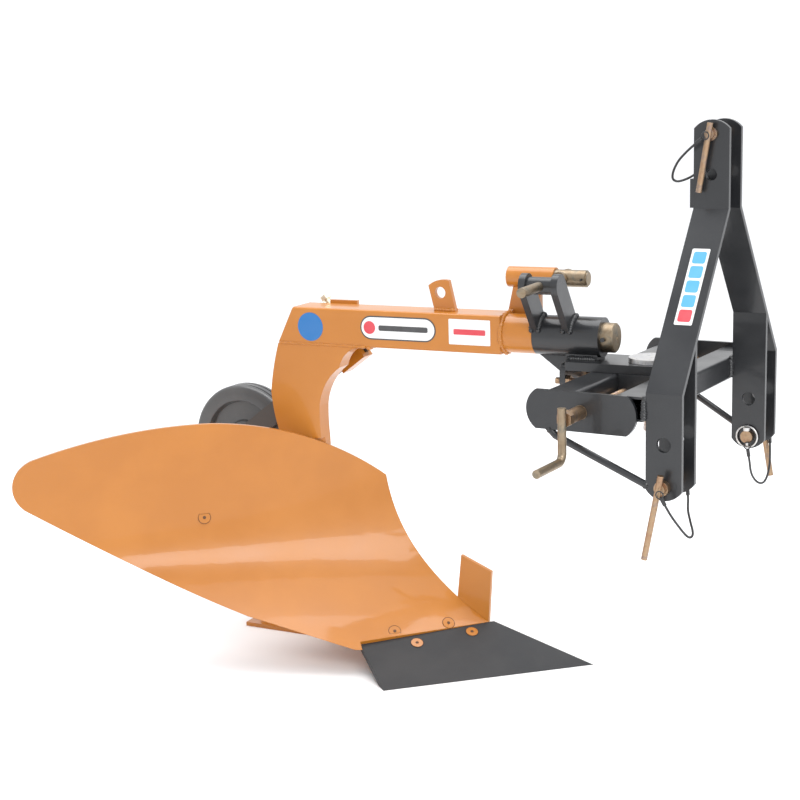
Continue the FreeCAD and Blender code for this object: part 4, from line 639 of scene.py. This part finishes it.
@dataclass
class Studio:
    """The camera, the pale floor and the soft lights."""

    places: Places
    eye: tuple[float, float, float] = (0.8916, -2.4695, 1.0644)
    heading: float = math.radians(31.509)
    pitch: float = math.radians(11.383)
    roll: float = math.radians(-1.663)
    focal_pixels: float = 1561.0
    frame_pixels: float = 800.0
    floor_size: float = 120.0

    def set_camera(self) -> None:
        """Put the camera where the photograph was taken from."""
        data = bpy.data.cameras.new("studio_camera")
        data.sensor_width = data.sensor_height = 36.0
        data.lens = data.sensor_width * self.focal_pixels / self.frame_pixels
        data.clip_end = 200.0
        camera = bpy.data.objects.new("studio_camera", data)
        bpy.context.scene.collection.objects.link(camera)
        level = Vector((math.cos(self.heading), math.sin(self.heading), 0))
        ahead = Vector((-math.sin(self.heading) * math.cos(self.pitch),
                        math.cos(self.heading) * math.cos(self.pitch), -math.sin(self.pitch)))
        above = level.cross(ahead)
        right = level * math.cos(self.roll) + above * math.sin(self.roll)
        top = above * math.cos(self.roll) - level * math.sin(self.roll)
        view = Matrix((right, top, -ahead)).transposed().to_4x4()
        view.translation = self.places.at_hitch(*self.eye)
        camera.matrix_world = view
        bpy.context.scene.camera = camera

    def lay_floor(self) -> None:
        """A wide white floor."""
        bpy.ops.object.select_all(action="DESELECT")
        bpy.ops.mesh.primitive_plane_add(size=self.floor_size)
        floor = bpy.context.object
        floor.name = "studio_floor"
        paper = Mixer("white_floor", Roughness=0.75, Specular_IOR_Level=0.2)
        grain = paper.noise(0.4, 3.0)
        paper.set(Base_Color=paper.blend(grain, (0.93, 0.93, 0.93, 1), (0.95, 0.95, 0.95, 1)))
        floor.data.materials.append(paper.material)

    def add_light(self, name: str, spot: Vector, aim: Vector, size: tuple[float, float], power: float,
                  tint: tuple[float, float, float] = (1, 1, 1)) -> None:
        """A rectangular soft box."""
        data = bpy.data.lights.new(name, "AREA")
        data.shape, data.size, data.size_y = "RECTANGLE", *size
        data.energy, data.color = power, tint
        lamp = bpy.data.objects.new(name, data)
        lamp.location = spot
        lamp.rotation_euler = (aim - spot).to_track_quat("-Z", "Y").to_euler()
        bpy.context.scene.collection.objects.link(lamp)

    def set_lights(self) -> None:
        """A bright sky, a soft sun and two soft boxes."""
        scene = bpy.context.scene
        scene.view_settings.view_transform = "Standard"
        scene.view_settings.look = "None"
        world = bpy.data.worlds.new("studio_sky")
        scene.world = world
        world.use_nodes = True
        tree = world.node_tree
        ramp = tree.nodes.new("ShaderNodeValToRGB")
        spread = tree.nodes.new("ShaderNodeSeparateXYZ")
        sky = tree.nodes.new("ShaderNodeTexCoord")
        tree.links.new(sky.outputs["Generated"], spread.inputs[0])
        tree.links.new(spread.outputs["Z"], ramp.inputs[0])
        tree.links.new(ramp.outputs[0], tree.nodes["Background"].inputs["Color"])
        ramp.color_ramp.elements[0].color = (1.0, 1.0, 1.0, 1)
        ramp.color_ramp.elements[1].color = (0.66, 0.68, 0.72, 1)
        tree.nodes["Background"].inputs["Strength"].default_value = 1.15
        sun_data = bpy.data.lights.new("studio_sun", "SUN")
        sun_data.energy, sun_data.angle = 0.95, math.radians(50)
        sun = bpy.data.objects.new("studio_sun", sun_data)
        sun.rotation_euler = Vector((-0.55, -0.15, -1.0)).to_track_quat("-Z", "Y").to_euler()
        scene.collection.objects.link(sun)
        middle = Vector((0.0, 0.0, 0.4))
        self.add_light("soft_box_right", Vector((2.6, -2.4, 2.4)), middle, (2.2, 1.4), 55.0)
        self.add_light("soft_box_top", Vector((-0.4, 0.6, 3.2)), middle, (3.0, 2.0), 60.0)


@dataclass
class Tethers:
    """Three coated wire cords that keep the hitch pins with the headstock."""

    bench: Bench
    places: Places
    finishes: Finishes
    diameter: float = 0.004
    lengths: dict[str, float] = field(default_factory=lambda: {
        "tether_top": 0.1906, "tether_right": 0.1610, "tether_left": 0.1584})
    routes: dict[str, list[tuple[float, float, float]]] = field(default_factory=lambda: {
        "tether_top": [
            (-0.020, -0.0484, 0.960), (-0.029, -0.0479, 0.953), (-0.042, -0.042, 0.943),
            (-0.056, -0.034, 0.931), (-0.066, -0.027, 0.917), (-0.071, -0.0215, 0.906),
            (-0.071, -0.017, 0.899), (-0.065, -0.0135, 0.896), (-0.057, -0.009, 0.898),
            (-0.048, -0.003, 0.902), (-0.042, 0.006, 0.907), (-0.040, 0.018, 0.914),
            (-0.035, 0.031, 0.927), (-0.025, 0.039, 0.937), (-0.015, 0.043, 0.945)],
        "tether_right": [
            (0.011, -0.253, 0.412), (0.0145, -0.2487, 0.402), (0.019, -0.241, 0.389),
            (0.024, -0.232, 0.376), (0.029, -0.2235, 0.364), (0.0335, -0.217, 0.355),
            (0.0375, -0.211, 0.351), (0.0395, -0.205, 0.354), (0.037, -0.200, 0.361),
            (0.032, -0.194, 0.368), (0.027, -0.1876, 0.376), (0.0215, -0.180, 0.385),
            (0.017, -0.169, 0.392), (0.0145, -0.161, 0.3985), (0.0135, -0.160, 0.406)],
        "tether_left": [
            (0.006, 0.1577, 0.400), (0.0075, 0.1595, 0.387), (0.0065, 0.166, 0.374),
            (0.007, 0.174, 0.361), (0.0105, 0.1825, 0.350), (0.0155, 0.190, 0.3435),
            (0.021, 0.1965, 0.3435), (0.024, 0.203, 0.350), (0.025, 0.211, 0.361),
            (0.0245, 0.220, 0.374), (0.0215, 0.230, 0.387), (0.0181, 0.240, 0.3991),
            (0.0156, 0.2465, 0.4071)]})

    def build(self) -> None:
        """Lay the three cords along their routes."""
        for name, route in self.routes.items():
            curve = bpy.data.curves.new(name + "_cord", "CURVE")
            curve.dimensions = "3D"
            spline = curve.splines.new("NURBS")
            spline.points.add(len(route) - 1)
            for point, spot in zip(spline.points, route):
                point.co = (*self.places.at_hitch(*spot), 1.0)
                point.radius = 1.0
            spline.order_u = 3
            spline.use_endpoint_u = True
            curve.bevel_depth = self.diameter / 2
            curve.bevel_resolution = 4
            curve.resolution_u = 10
            curve.use_fill_caps = True
            cord = bpy.data.objects.new(name + "_cord", curve)
            bpy.context.scene.collection.objects.link(cord)
            self.bench.seat(cord, Body.HEADSTOCK, Slot.CORD, self.finishes.cord, name)
            self.places.at_hitch(*route[0])


@dataclass
class Headstock:
    """The bent mast legs, clevis plates, crossbars, braces and hitch pins."""

    bench: Bench
    places: Places
    finishes: Finishes
    plate_half: float = 0.030
    bar_top: float = 0.574
    bar_low: float = 0.534
    clevis_faces: tuple[float, ...] = (0.168, 0.176, 0.224, 0.232)
    weld: float = 0.0052
    leg_slope: tuple[float, float, float] = (0, -0.200, -0.271)
    leg_bend: tuple[float, float, float] = (0.002, -0.032, 0.854)
    label_drop: float = 0.145
    label_size: tuple[float, float] = (0.030, 0.139)
    field_size: tuple[float, float] = (0.022, 0.022)
    field_step: float = 0.0265
    label_gap: float = 0.0002
    label_thick: float = 0.0004

    def build(self) -> None:
        """Dress the solids and add the welds and the label."""
        paint = self.finishes.charcoal
        self.bench.dress(paint, "mast_leg_right", "mast_leg_left", "inner_plate_right", "inner_plate_left",
                         "mast_cross_plate", "front_crossbar", "rear_crossbar", "end_plate_right",
                         "end_plate_left", "brace_rods")
        self.bench.dress(self.finishes.copper_zinc, "top_link_pin", "lower_link_pin_right",
                         "lower_link_pin_left")
        self.bench.dress(self.finishes.zinc, "crank_bushes")
        self.bench.dress(self.finishes.bright, "linchpins")
        self.bench.dress(self.finishes.cord, "tether_fittings")
        self.add_welds()
        self.add_label()

    def add_welds(self) -> None:
        """Lumpy beads where the plates meet the front bar, and at the mast's cross plate."""
        at = self.places.at_hitch
        beads = []
        seam = -self.plate_half - 0.003
        for number, y in enumerate(side * face for side in (-1, 1) for face in self.clevis_faces):
            upright = [at(seam, y, self.bar_low + 0.004), at(seam, y, self.bar_top - 0.003)]
            beads.append(self.bench.bead(f"bar_bead_{number}", upright, self.weld, 10 + number))
        for number, y in enumerate((-0.228, -0.172, 0.172, 0.228)):
            beads.append(self.bench.bead(f"bar_top_bead_{number}", [
                at(seam, y - 0.006, self.bar_top - 0.001), at(seam, y + 0.006, self.bar_top - 0.001)],
                self.weld, 30 + number))
        for number, y in enumerate((-0.024, 0.024)):
            beads.append(self.bench.bead(f"cross_plate_bead_{number}", [
                at(-0.033, y, 0.858), at(-0.033, y, 0.899)], 0.003, 40 + number))
        for number, side in enumerate((-1, 1)):
            beads.append(self.bench.bead(f"brace_bead_{number}", [
                at(-0.030, side * 0.228, 0.4275), at(-0.031, side * 0.228, 0.4405)], 0.0065, 50 + number))
            root_y, root_z = (0.280, 0.516) if side > 0 else (-0.228, 0.509)
            beads.append(self.bench.bead(f"brace_root_bead_{number}", [
                at(-0.203, root_y, root_z), at(-0.192, root_y, root_z)], 0.0065, 60 + number))
        welds = self.bench.join("headstock_weld_beads", beads)
        self.bench.seat(welds, Body.HEADSTOCK, Slot.HEADSTOCK, self.finishes.charcoal, "frame_welds")

    def add_label(self) -> None:
        """A white strip of plain coloured fields on the near mast leg."""
        slope = Vector(self.leg_slope).normalized()
        across, up = Vector((1, 0, 0)), -slope
        out = across.cross(up)
        middle = self.places.at_hitch(*self.leg_bend) + slope * self.label_drop + out * self.label_gap
        strip = self.bench.plate("mast_label", middle, across, up, self.label_size, 0.002, self.label_thick)
        self.bench.seat(strip, Body.HEADSTOCK, Slot.HEADSTOCK, self.finishes.white)
        tones = [self.finishes.sky] * 4 + [self.finishes.red]
        for number, tone in enumerate(tones):
            spot = middle + up * self.field_step * (2 - number) + out * self.label_thick
            piece = self.bench.plate(f"mast_label_field_{number}", spot, across, up, self.field_size,
                                     0.004, 0.00025)
            self.bench.seat(piece, Body.HEADSTOCK, Slot.HEADSTOCK, tone)


@dataclass
class SideShift:
    """The crank, its threaded screw and the carriage that it draws across."""

    bench: Bench
    places: Places
    finishes: Finishes
    pitch: float = 0.004
    thread_deep: float = 0.0011
    screw_radius: float = 0.008
    thread_shares: tuple[float, float] = (0.045, 0.965)

    def build(self) -> None:
        """Dress the solids and cut the screw's thread."""
        self.bench.dress(self.finishes.zinc, "crank_handle", "crank_nut", "pivot_nut")
        self.bench.dress(self.finishes.copper_zinc, "crank_collar")
        self.bench.dress(self.finishes.charcoal, "carriage_block")
        self.bench.dress(self.finishes.bright, "pivot_pin")
        low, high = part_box("crank_screw")
        middle = (low + high) / 2
        start, end = Vector((middle.x, low.y, middle.z)), Vector((middle.x, high.y, middle.z))
        screw = self.bench.sleeve("side_shift_screw", [start, end], self.thread(high.y - low.y),
                                  int((high.y - low.y) / self.pitch * 6), 16)
        self.bench.seat(screw, Body.CRANK, Slot.ZINC, self.finishes.copper_zinc, "crank_screw")

    def thread(self, long: float) -> Callable[[float, float], float]:
        """The radius of a right-hand thread that runs out near both ends."""

        def reach(share: float, angle: float) -> float:
            """The radius at a share of the screw's length."""
            if not self.thread_shares[0] < share < self.thread_shares[1]:
                return self.screw_radius
            turn = (share * long / self.pitch - angle / FULL_TURN) % 1.0
            return self.screw_radius - self.thread_deep * abs(2 * turn - 1)

        return reach


@dataclass
class Turret:
    """The plate that turns on the pivot, its tube, lugs, stop screws and tilt spindle."""

    bench: Bench
    places: Places
    finishes: Finishes
    tube_radius: float = 0.035
    axis_z: float = 0.627
    lug_faces: tuple[float, ...] = (-0.1365, -0.1495, -0.1955, -0.2085)
    lug_way: float = math.radians(127.2)
    lug_spread: float = math.radians(40)
    cotter_leg: float = 0.0010
    cotter_part: float = 0.0008
    stop_pitch: float = 0.0015
    stop_thread: float = 0.0006

    def build(self) -> None:
        """Dress the solids and add the welds and threads."""
        self.bench.dress(self.finishes.charcoal, "turret_plate", "stop_lug", "pivot_tube", "turret_gusset",
                         "tilt_lugs", "trunnion", "main_pin_keeper")
        self.bench.dress(self.finishes.zinc, "tilt_spindle", "cross_shaft")
        self.bench.dress(self.finishes.copper_zinc, "stop_screw_nuts")
        self.add_welds()
        self.lay_cotter()
        for name, body in (("stop_screw_right", Body.RIGHT_STOP), ("stop_screw_left", Body.LEFT_STOP)):
            self.cut_stop_screw(name, body)

    def add_welds(self) -> None:
        """Heavy beads round the lugs' feet, along the saddle and the gusset."""
        on = self.places.on_beam
        beads = []
        for number, x in enumerate(self.lug_faces):
            arc = [on(x, (self.tube_radius + 0.001) * math.cos(angle),
                      self.axis_z + (self.tube_radius + 0.001) * math.sin(angle))
                   for angle in (self.lug_way + self.lug_spread * step / 6 for step in range(-6, 7))]
            beads.append(self.bench.bead(f"lug_bead_{number}", arc, 0.0048, 70 + number))
        for number, side in enumerate((-1, 1)):
            beads.append(self.bench.bead(f"saddle_bead_{number}", [
                on(-0.148, side * 0.021, 0.590), on(-0.094, side * 0.021, 0.590)], 0.0050, 80 + number))
            beads.append(self.bench.bead(f"gusset_bead_{number}", [
                on(-0.203, side * 0.0055, 0.5955), on(-0.152, side * 0.0055, 0.5955)], 0.0036, 90 + number))
        foot = [on(-0.1415, -0.034, 0.5865), on(-0.1415, 0.034, 0.5865)]
        beads.append(self.bench.bead("stop_lug_bead", foot, 0.0042, 95))
        welds = self.bench.join("turret_weld_beads", beads)
        self.bench.seat(welds, Body.TURRET, Slot.HEADSTOCK, self.finishes.charcoal)

    def lay_cotter(self) -> None:
        """The two legs of the split pin through the cross shaft."""
        low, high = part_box("cross_shaft_pin")
        middle = (low + high) / 2
        reach = self.places.beam_way(0, 1, 0) * ((high.y - low.y) / 2 - self.cotter_leg)
        legs = []
        for number, side in enumerate((-1, 1)):
            seat = middle + Vector((0, 0, side * self.cotter_part))
            legs.append(self.bench.sleeve(f"cotter_leg_{number}", [seat + reach, seat - reach],
                                          lambda share, angle: self.cotter_leg, 12, 10))
        cotter = self.bench.join("cross_shaft_cotter", legs)
        self.bench.seat(cotter, Body.SHAFT, Slot.BRIGHT, self.finishes.cord, "cross_shaft_pin")

    def cut_stop_screw(self, name: str, body: Body) -> None:
        """A threaded stop screw in the place of its plain solid."""
        way = self.places.beam_way(1, 0, 0)
        low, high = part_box(name)
        centre = (low + high) / 2
        radius = (high.z - low.z) / 2
        long = (high.x - low.x - 2 * radius * abs(way.y)) / way.x
        start, end = centre - way * long / 2, centre + way * long / 2

        def reach(share: float, angle: float) -> float:
            """The radius of the thread at a share of the screw's length."""
            turn = (share * long / self.stop_pitch - angle / FULL_TURN) % 1.0
            return radius - self.stop_thread * abs(2 * turn - 1)

        rings = int(long / self.stop_pitch * 5)
        screw = self.bench.sleeve(name + "_thread", [start, end], reach, rings, 14)
        self.bench.seat(screw, body, Slot.ZINC, self.finishes.copper_zinc, name)


@dataclass
class Beam:
    """The square beam with its main pin, lifting eye, leg, board, share and landside."""

    bench: Bench
    places: Places
    finishes: Finishes
    near_face: float = -0.035
    bolt_radius: float = 0.0116
    bolt_gap: float = 0.0005
    socket_radius: float = 0.0034
    beam_low: float = 0.593
    beam_top: float = 0.663
    axis_z: float = 0.627
    socket_x: float = -0.2675
    socket_radius_out: float = 0.0350
    pin_ends: tuple[float, float] = (-0.063, -0.262)
    pin_rings: int = 14
    pin_centre: float = 0.0045
    pin_groove: float = 0.00035
    label_gap: float = 0.0002
    label_thick: float = 0.0003

    def build(self) -> None:
        """Dress the solids and add the pin, welds, painted shade round the bolts, and labels."""
        self.bench.dress(self.finishes.orange, "beam_socket", "beam_tube", "beam_end_cap", "shaft_tube",
                         "shaft_bracket", "lifting_eye", "leg", "mouldboard", "shin_knife", "board_strut",
                         "wheel_clamp", "frog", "landside", "plough_bolts")
        self.bench.dress(self.finishes.share, "share")
        self.bench.dress(self.finishes.cream, "clamp_bolt")
        self.turn_main_pin()
        self.mark_bolts()
        self.add_welds()
        self.add_labels()

    def mark_bolts(self) -> None:
        """Painted shade: a dark ring round the head of each plough bolt, where it meets the plate, and a
        dark disc for the shaded socket in its middle.
        """
        heads = self.bench.faces_of(self.bench.nodes["plough_bolts"], self.places.beam_way(0, -1, 0))
        inner, outer = self.bolt_radius - self.bolt_gap, self.bolt_radius + self.bolt_gap
        rim = [(inner, 0.0), (self.bolt_radius, self.bolt_gap), (outer, 0.0),
               (self.bolt_radius, -self.bolt_gap), (inner, 0.0)]
        socket = [(0.0, self.bolt_gap / 2), (self.socket_radius, self.bolt_gap / 2),
                  (self.socket_radius, -self.bolt_gap), (0.0, -self.bolt_gap)]
        pieces = []
        # Painted shade: each head gets a thin dark ring and a dark socket disc in place of the shade there.
        for number, (spot, way) in enumerate(heads):
            pieces.append(self.bench.turned(f"bolt_rim_{number}", rim, spot, way, 48))
            pieces.append(self.bench.turned(f"bolt_socket_{number}", socket, spot, way, 6))
        marks = self.bench.join("plough_bolt_marks", pieces)
        self.bench.seat(marks, Body.PLOUGH, Slot.PLOUGH, self.finishes.gap)

    def turn_main_pin(self) -> None:
        """The main pin with a chamfer, a centre mark and a turned end face."""
        low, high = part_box("main_pin")
        radius = (high.z - low.z) / 2
        axis_z = (high.z + low.z) / 2
        front, back = (self.places.on_beam(x, 0, axis_z) for x in self.pin_ends)
        long = (front - back).length
        profile = [(0.0, long - 0.004), (0.0035, long - 0.0004), (self.pin_centre, long)]
        for step in range(1, self.pin_rings):
            ring = self.pin_centre + (radius - 0.0075) * step / self.pin_rings
            profile.append((ring, long - (self.pin_groove if step % 2 else 0.0)))
        profile += [(radius - 0.0025, long), (radius, long - 0.0025), (radius, 0.001),
                    (radius - 0.001, 0.0), (0.0, 0.0)]
        pin = self.bench.turned("main_pin_turned", profile, back, front - back, 72)
        self.bench.seat(pin, Body.PLOUGH, Slot.ZINC, self.finishes.zinc, "main_pin")

    def add_welds(self) -> None:
        """Beads between leg and beam, at the eye, the bracket and the socket."""
        on = self.places.on_beam
        near, under, above = self.near_face + 0.0012, self.beam_low - 0.001, self.beam_top + 0.0006
        seams = {"near": ((-0.538, near, self.beam_low), (-0.724, near, self.beam_low), 0.0030),
                 "far": ((-0.538, 0.001, under), (-0.724, 0.001, under), 0.0050),
                 "front": ((-0.5345, -0.033, under), (-0.5345, -0.002, under), 0.0050)}
        beads = []
        for seed, (name, (start, end, radius)) in enumerate(seams.items(), 101):
            beads.append(self.bench.bead("leg_seam_" + name, [on(*start), on(*end)], radius, seed))
        for number, side in enumerate((-1, 1)):
            foot = [on(x, side * 0.0055, above) for x in (-0.409, -0.367)]
            beads.append(self.bench.bead(f"eye_bead_{number}", foot, 0.0036, 110 + number))
            foot = [on(-0.276, 0.030 + side * 0.0065, above),
                    on(-0.264, 0.030 + side * 0.0065, self.beam_top - 0.003)]
            beads.append(self.bench.bead(f"bracket_bead_{number}", foot, 0.0050, 120 + number))
        circle = [on(self.socket_x, self.socket_radius_out * math.cos(FULL_TURN * step / 36),
                     self.axis_z + self.socket_radius_out * math.sin(FULL_TURN * step / 36))
                  for step in range(36)]
        beads.append(self.bench.bead("socket_bead", circle, 0.0042, 130, closed=True))
        welds = self.bench.join("beam_weld_beads", beads)
        self.bench.seat(welds, Body.PLOUGH, Slot.PLOUGH, self.finishes.orange)

    def add_labels(self) -> None:
        """Plain labels on the beam's near face: a disc, a capsule and an oblong."""
        along, up = self.places.beam_way(1, 0, 0), Vector((0, 0, 1))
        out = along.cross(up)
        tones = self.finishes
        layers = (
            ("beam_label_disc", (-0.654, 0.626), (0.054, 0.054), 0.027, 0, tones.blue),
            ("beam_label_capsule", (-0.470, 0.630), (0.154, 0.044), 0.022, 0, tones.ink),
            ("beam_label_capsule_field", (-0.470, 0.630), (0.149, 0.039), 0.0195, 1, tones.white),
            ("beam_label_dot", (-0.528, 0.630), (0.024, 0.024), 0.012, 2, tones.red),
            ("beam_label_stripe", (-0.459, 0.630), (0.100, 0.010), 0.003, 2, tones.ink),
            ("beam_label_oblong", (-0.3265, 0.630), (0.081, 0.046), 0.002, 0, tones.white),
            ("beam_label_oblong_stripe", (-0.3265, 0.630), (0.062, 0.010), 0.002, 1, tones.red))
        for name, (x, z), size, corner, layer, tone in layers:
            lift = self.label_gap + self.label_thick * layer
            spot = self.places.on_beam(x, self.near_face, z) + out * lift
            piece = self.bench.plate(name, spot, along, up, size, corner, self.label_thick)
            self.bench.seat(piece, Body.PLOUGH, Slot.PLOUGH, tone)


@dataclass
class WheelSide:
    """The depth wheel with its arm and axle."""

    bench: Bench
    places: Places
    finishes: Finishes
    bore: float = 0.0103
    half_hub: float = 0.031
    half_rim: float = 0.0235
    radius: float = 0.1138

    def build(self) -> None:
        """Dress the solids and turn the wheel."""
        self.bench.dress(self.finishes.arm, "wheel_arm")
        self.bench.dress(self.finishes.bright, "wheel_axle")
        low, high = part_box("depth_wheel")
        way = self.places.beam_way(0, 1, 0)
        wheel = self.bench.turned("depth_wheel_turned", self.profile(), (low + high) / 2, way, 96)
        self.bench.seat(wheel, Body.WHEEL, Slot.WHEEL, self.finishes.wheel, "depth_wheel")

    def profile(self) -> list[tuple[float, float]]:
        """The wheel's section as a loop: hub, sunk disc, flat side ring and a tread with two grooves."""
        side = [
            (self.bore, self.half_hub - 0.001), (self.bore + 0.001, self.half_hub),
            (0.0220, self.half_hub), (0.0229, self.half_hub - 0.001), (0.0229, 0.0150),
            (0.0385, 0.0145), (0.0405, 0.0120), (0.0420, 0.0100), (0.0790, 0.0100), (0.0815, 0.0190),
            (0.0835, self.half_rim - 0.0004), (0.0850, self.half_rim), (0.1070, self.half_rim),
            (0.1100, self.half_rim - 0.0012), (self.radius - 0.0008, self.half_rim - 0.0052),
            (self.radius, self.half_rim - 0.0080), (self.radius, 0.0100), (self.radius - 0.0024, 0.0090),
            (self.radius - 0.0024, 0.0062), (self.radius, 0.0052)]
        near = [(reach, -along) for reach, along in reversed(side)]
        return side + near + [side[0]]


def main() -> None:
    """Dress the plough and set the studio."""
    logging.basicConfig(level=logging.INFO, format="%(name)s: %(message)s")
    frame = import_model()
    places = Places.read(frame["joints"])
    bench, finishes = Bench(frame["nodes"]), Finishes()
    studio = Studio(places)
    studio.set_camera()
    Tethers(bench, places, finishes).build()
    for assembly in (Headstock, SideShift, Turret, Beam, WheelSide):
        assembly(bench, places, finishes).build()
    studio.lay_floor()
    studio.set_lights()


if __name__ == "__main__":
    main()
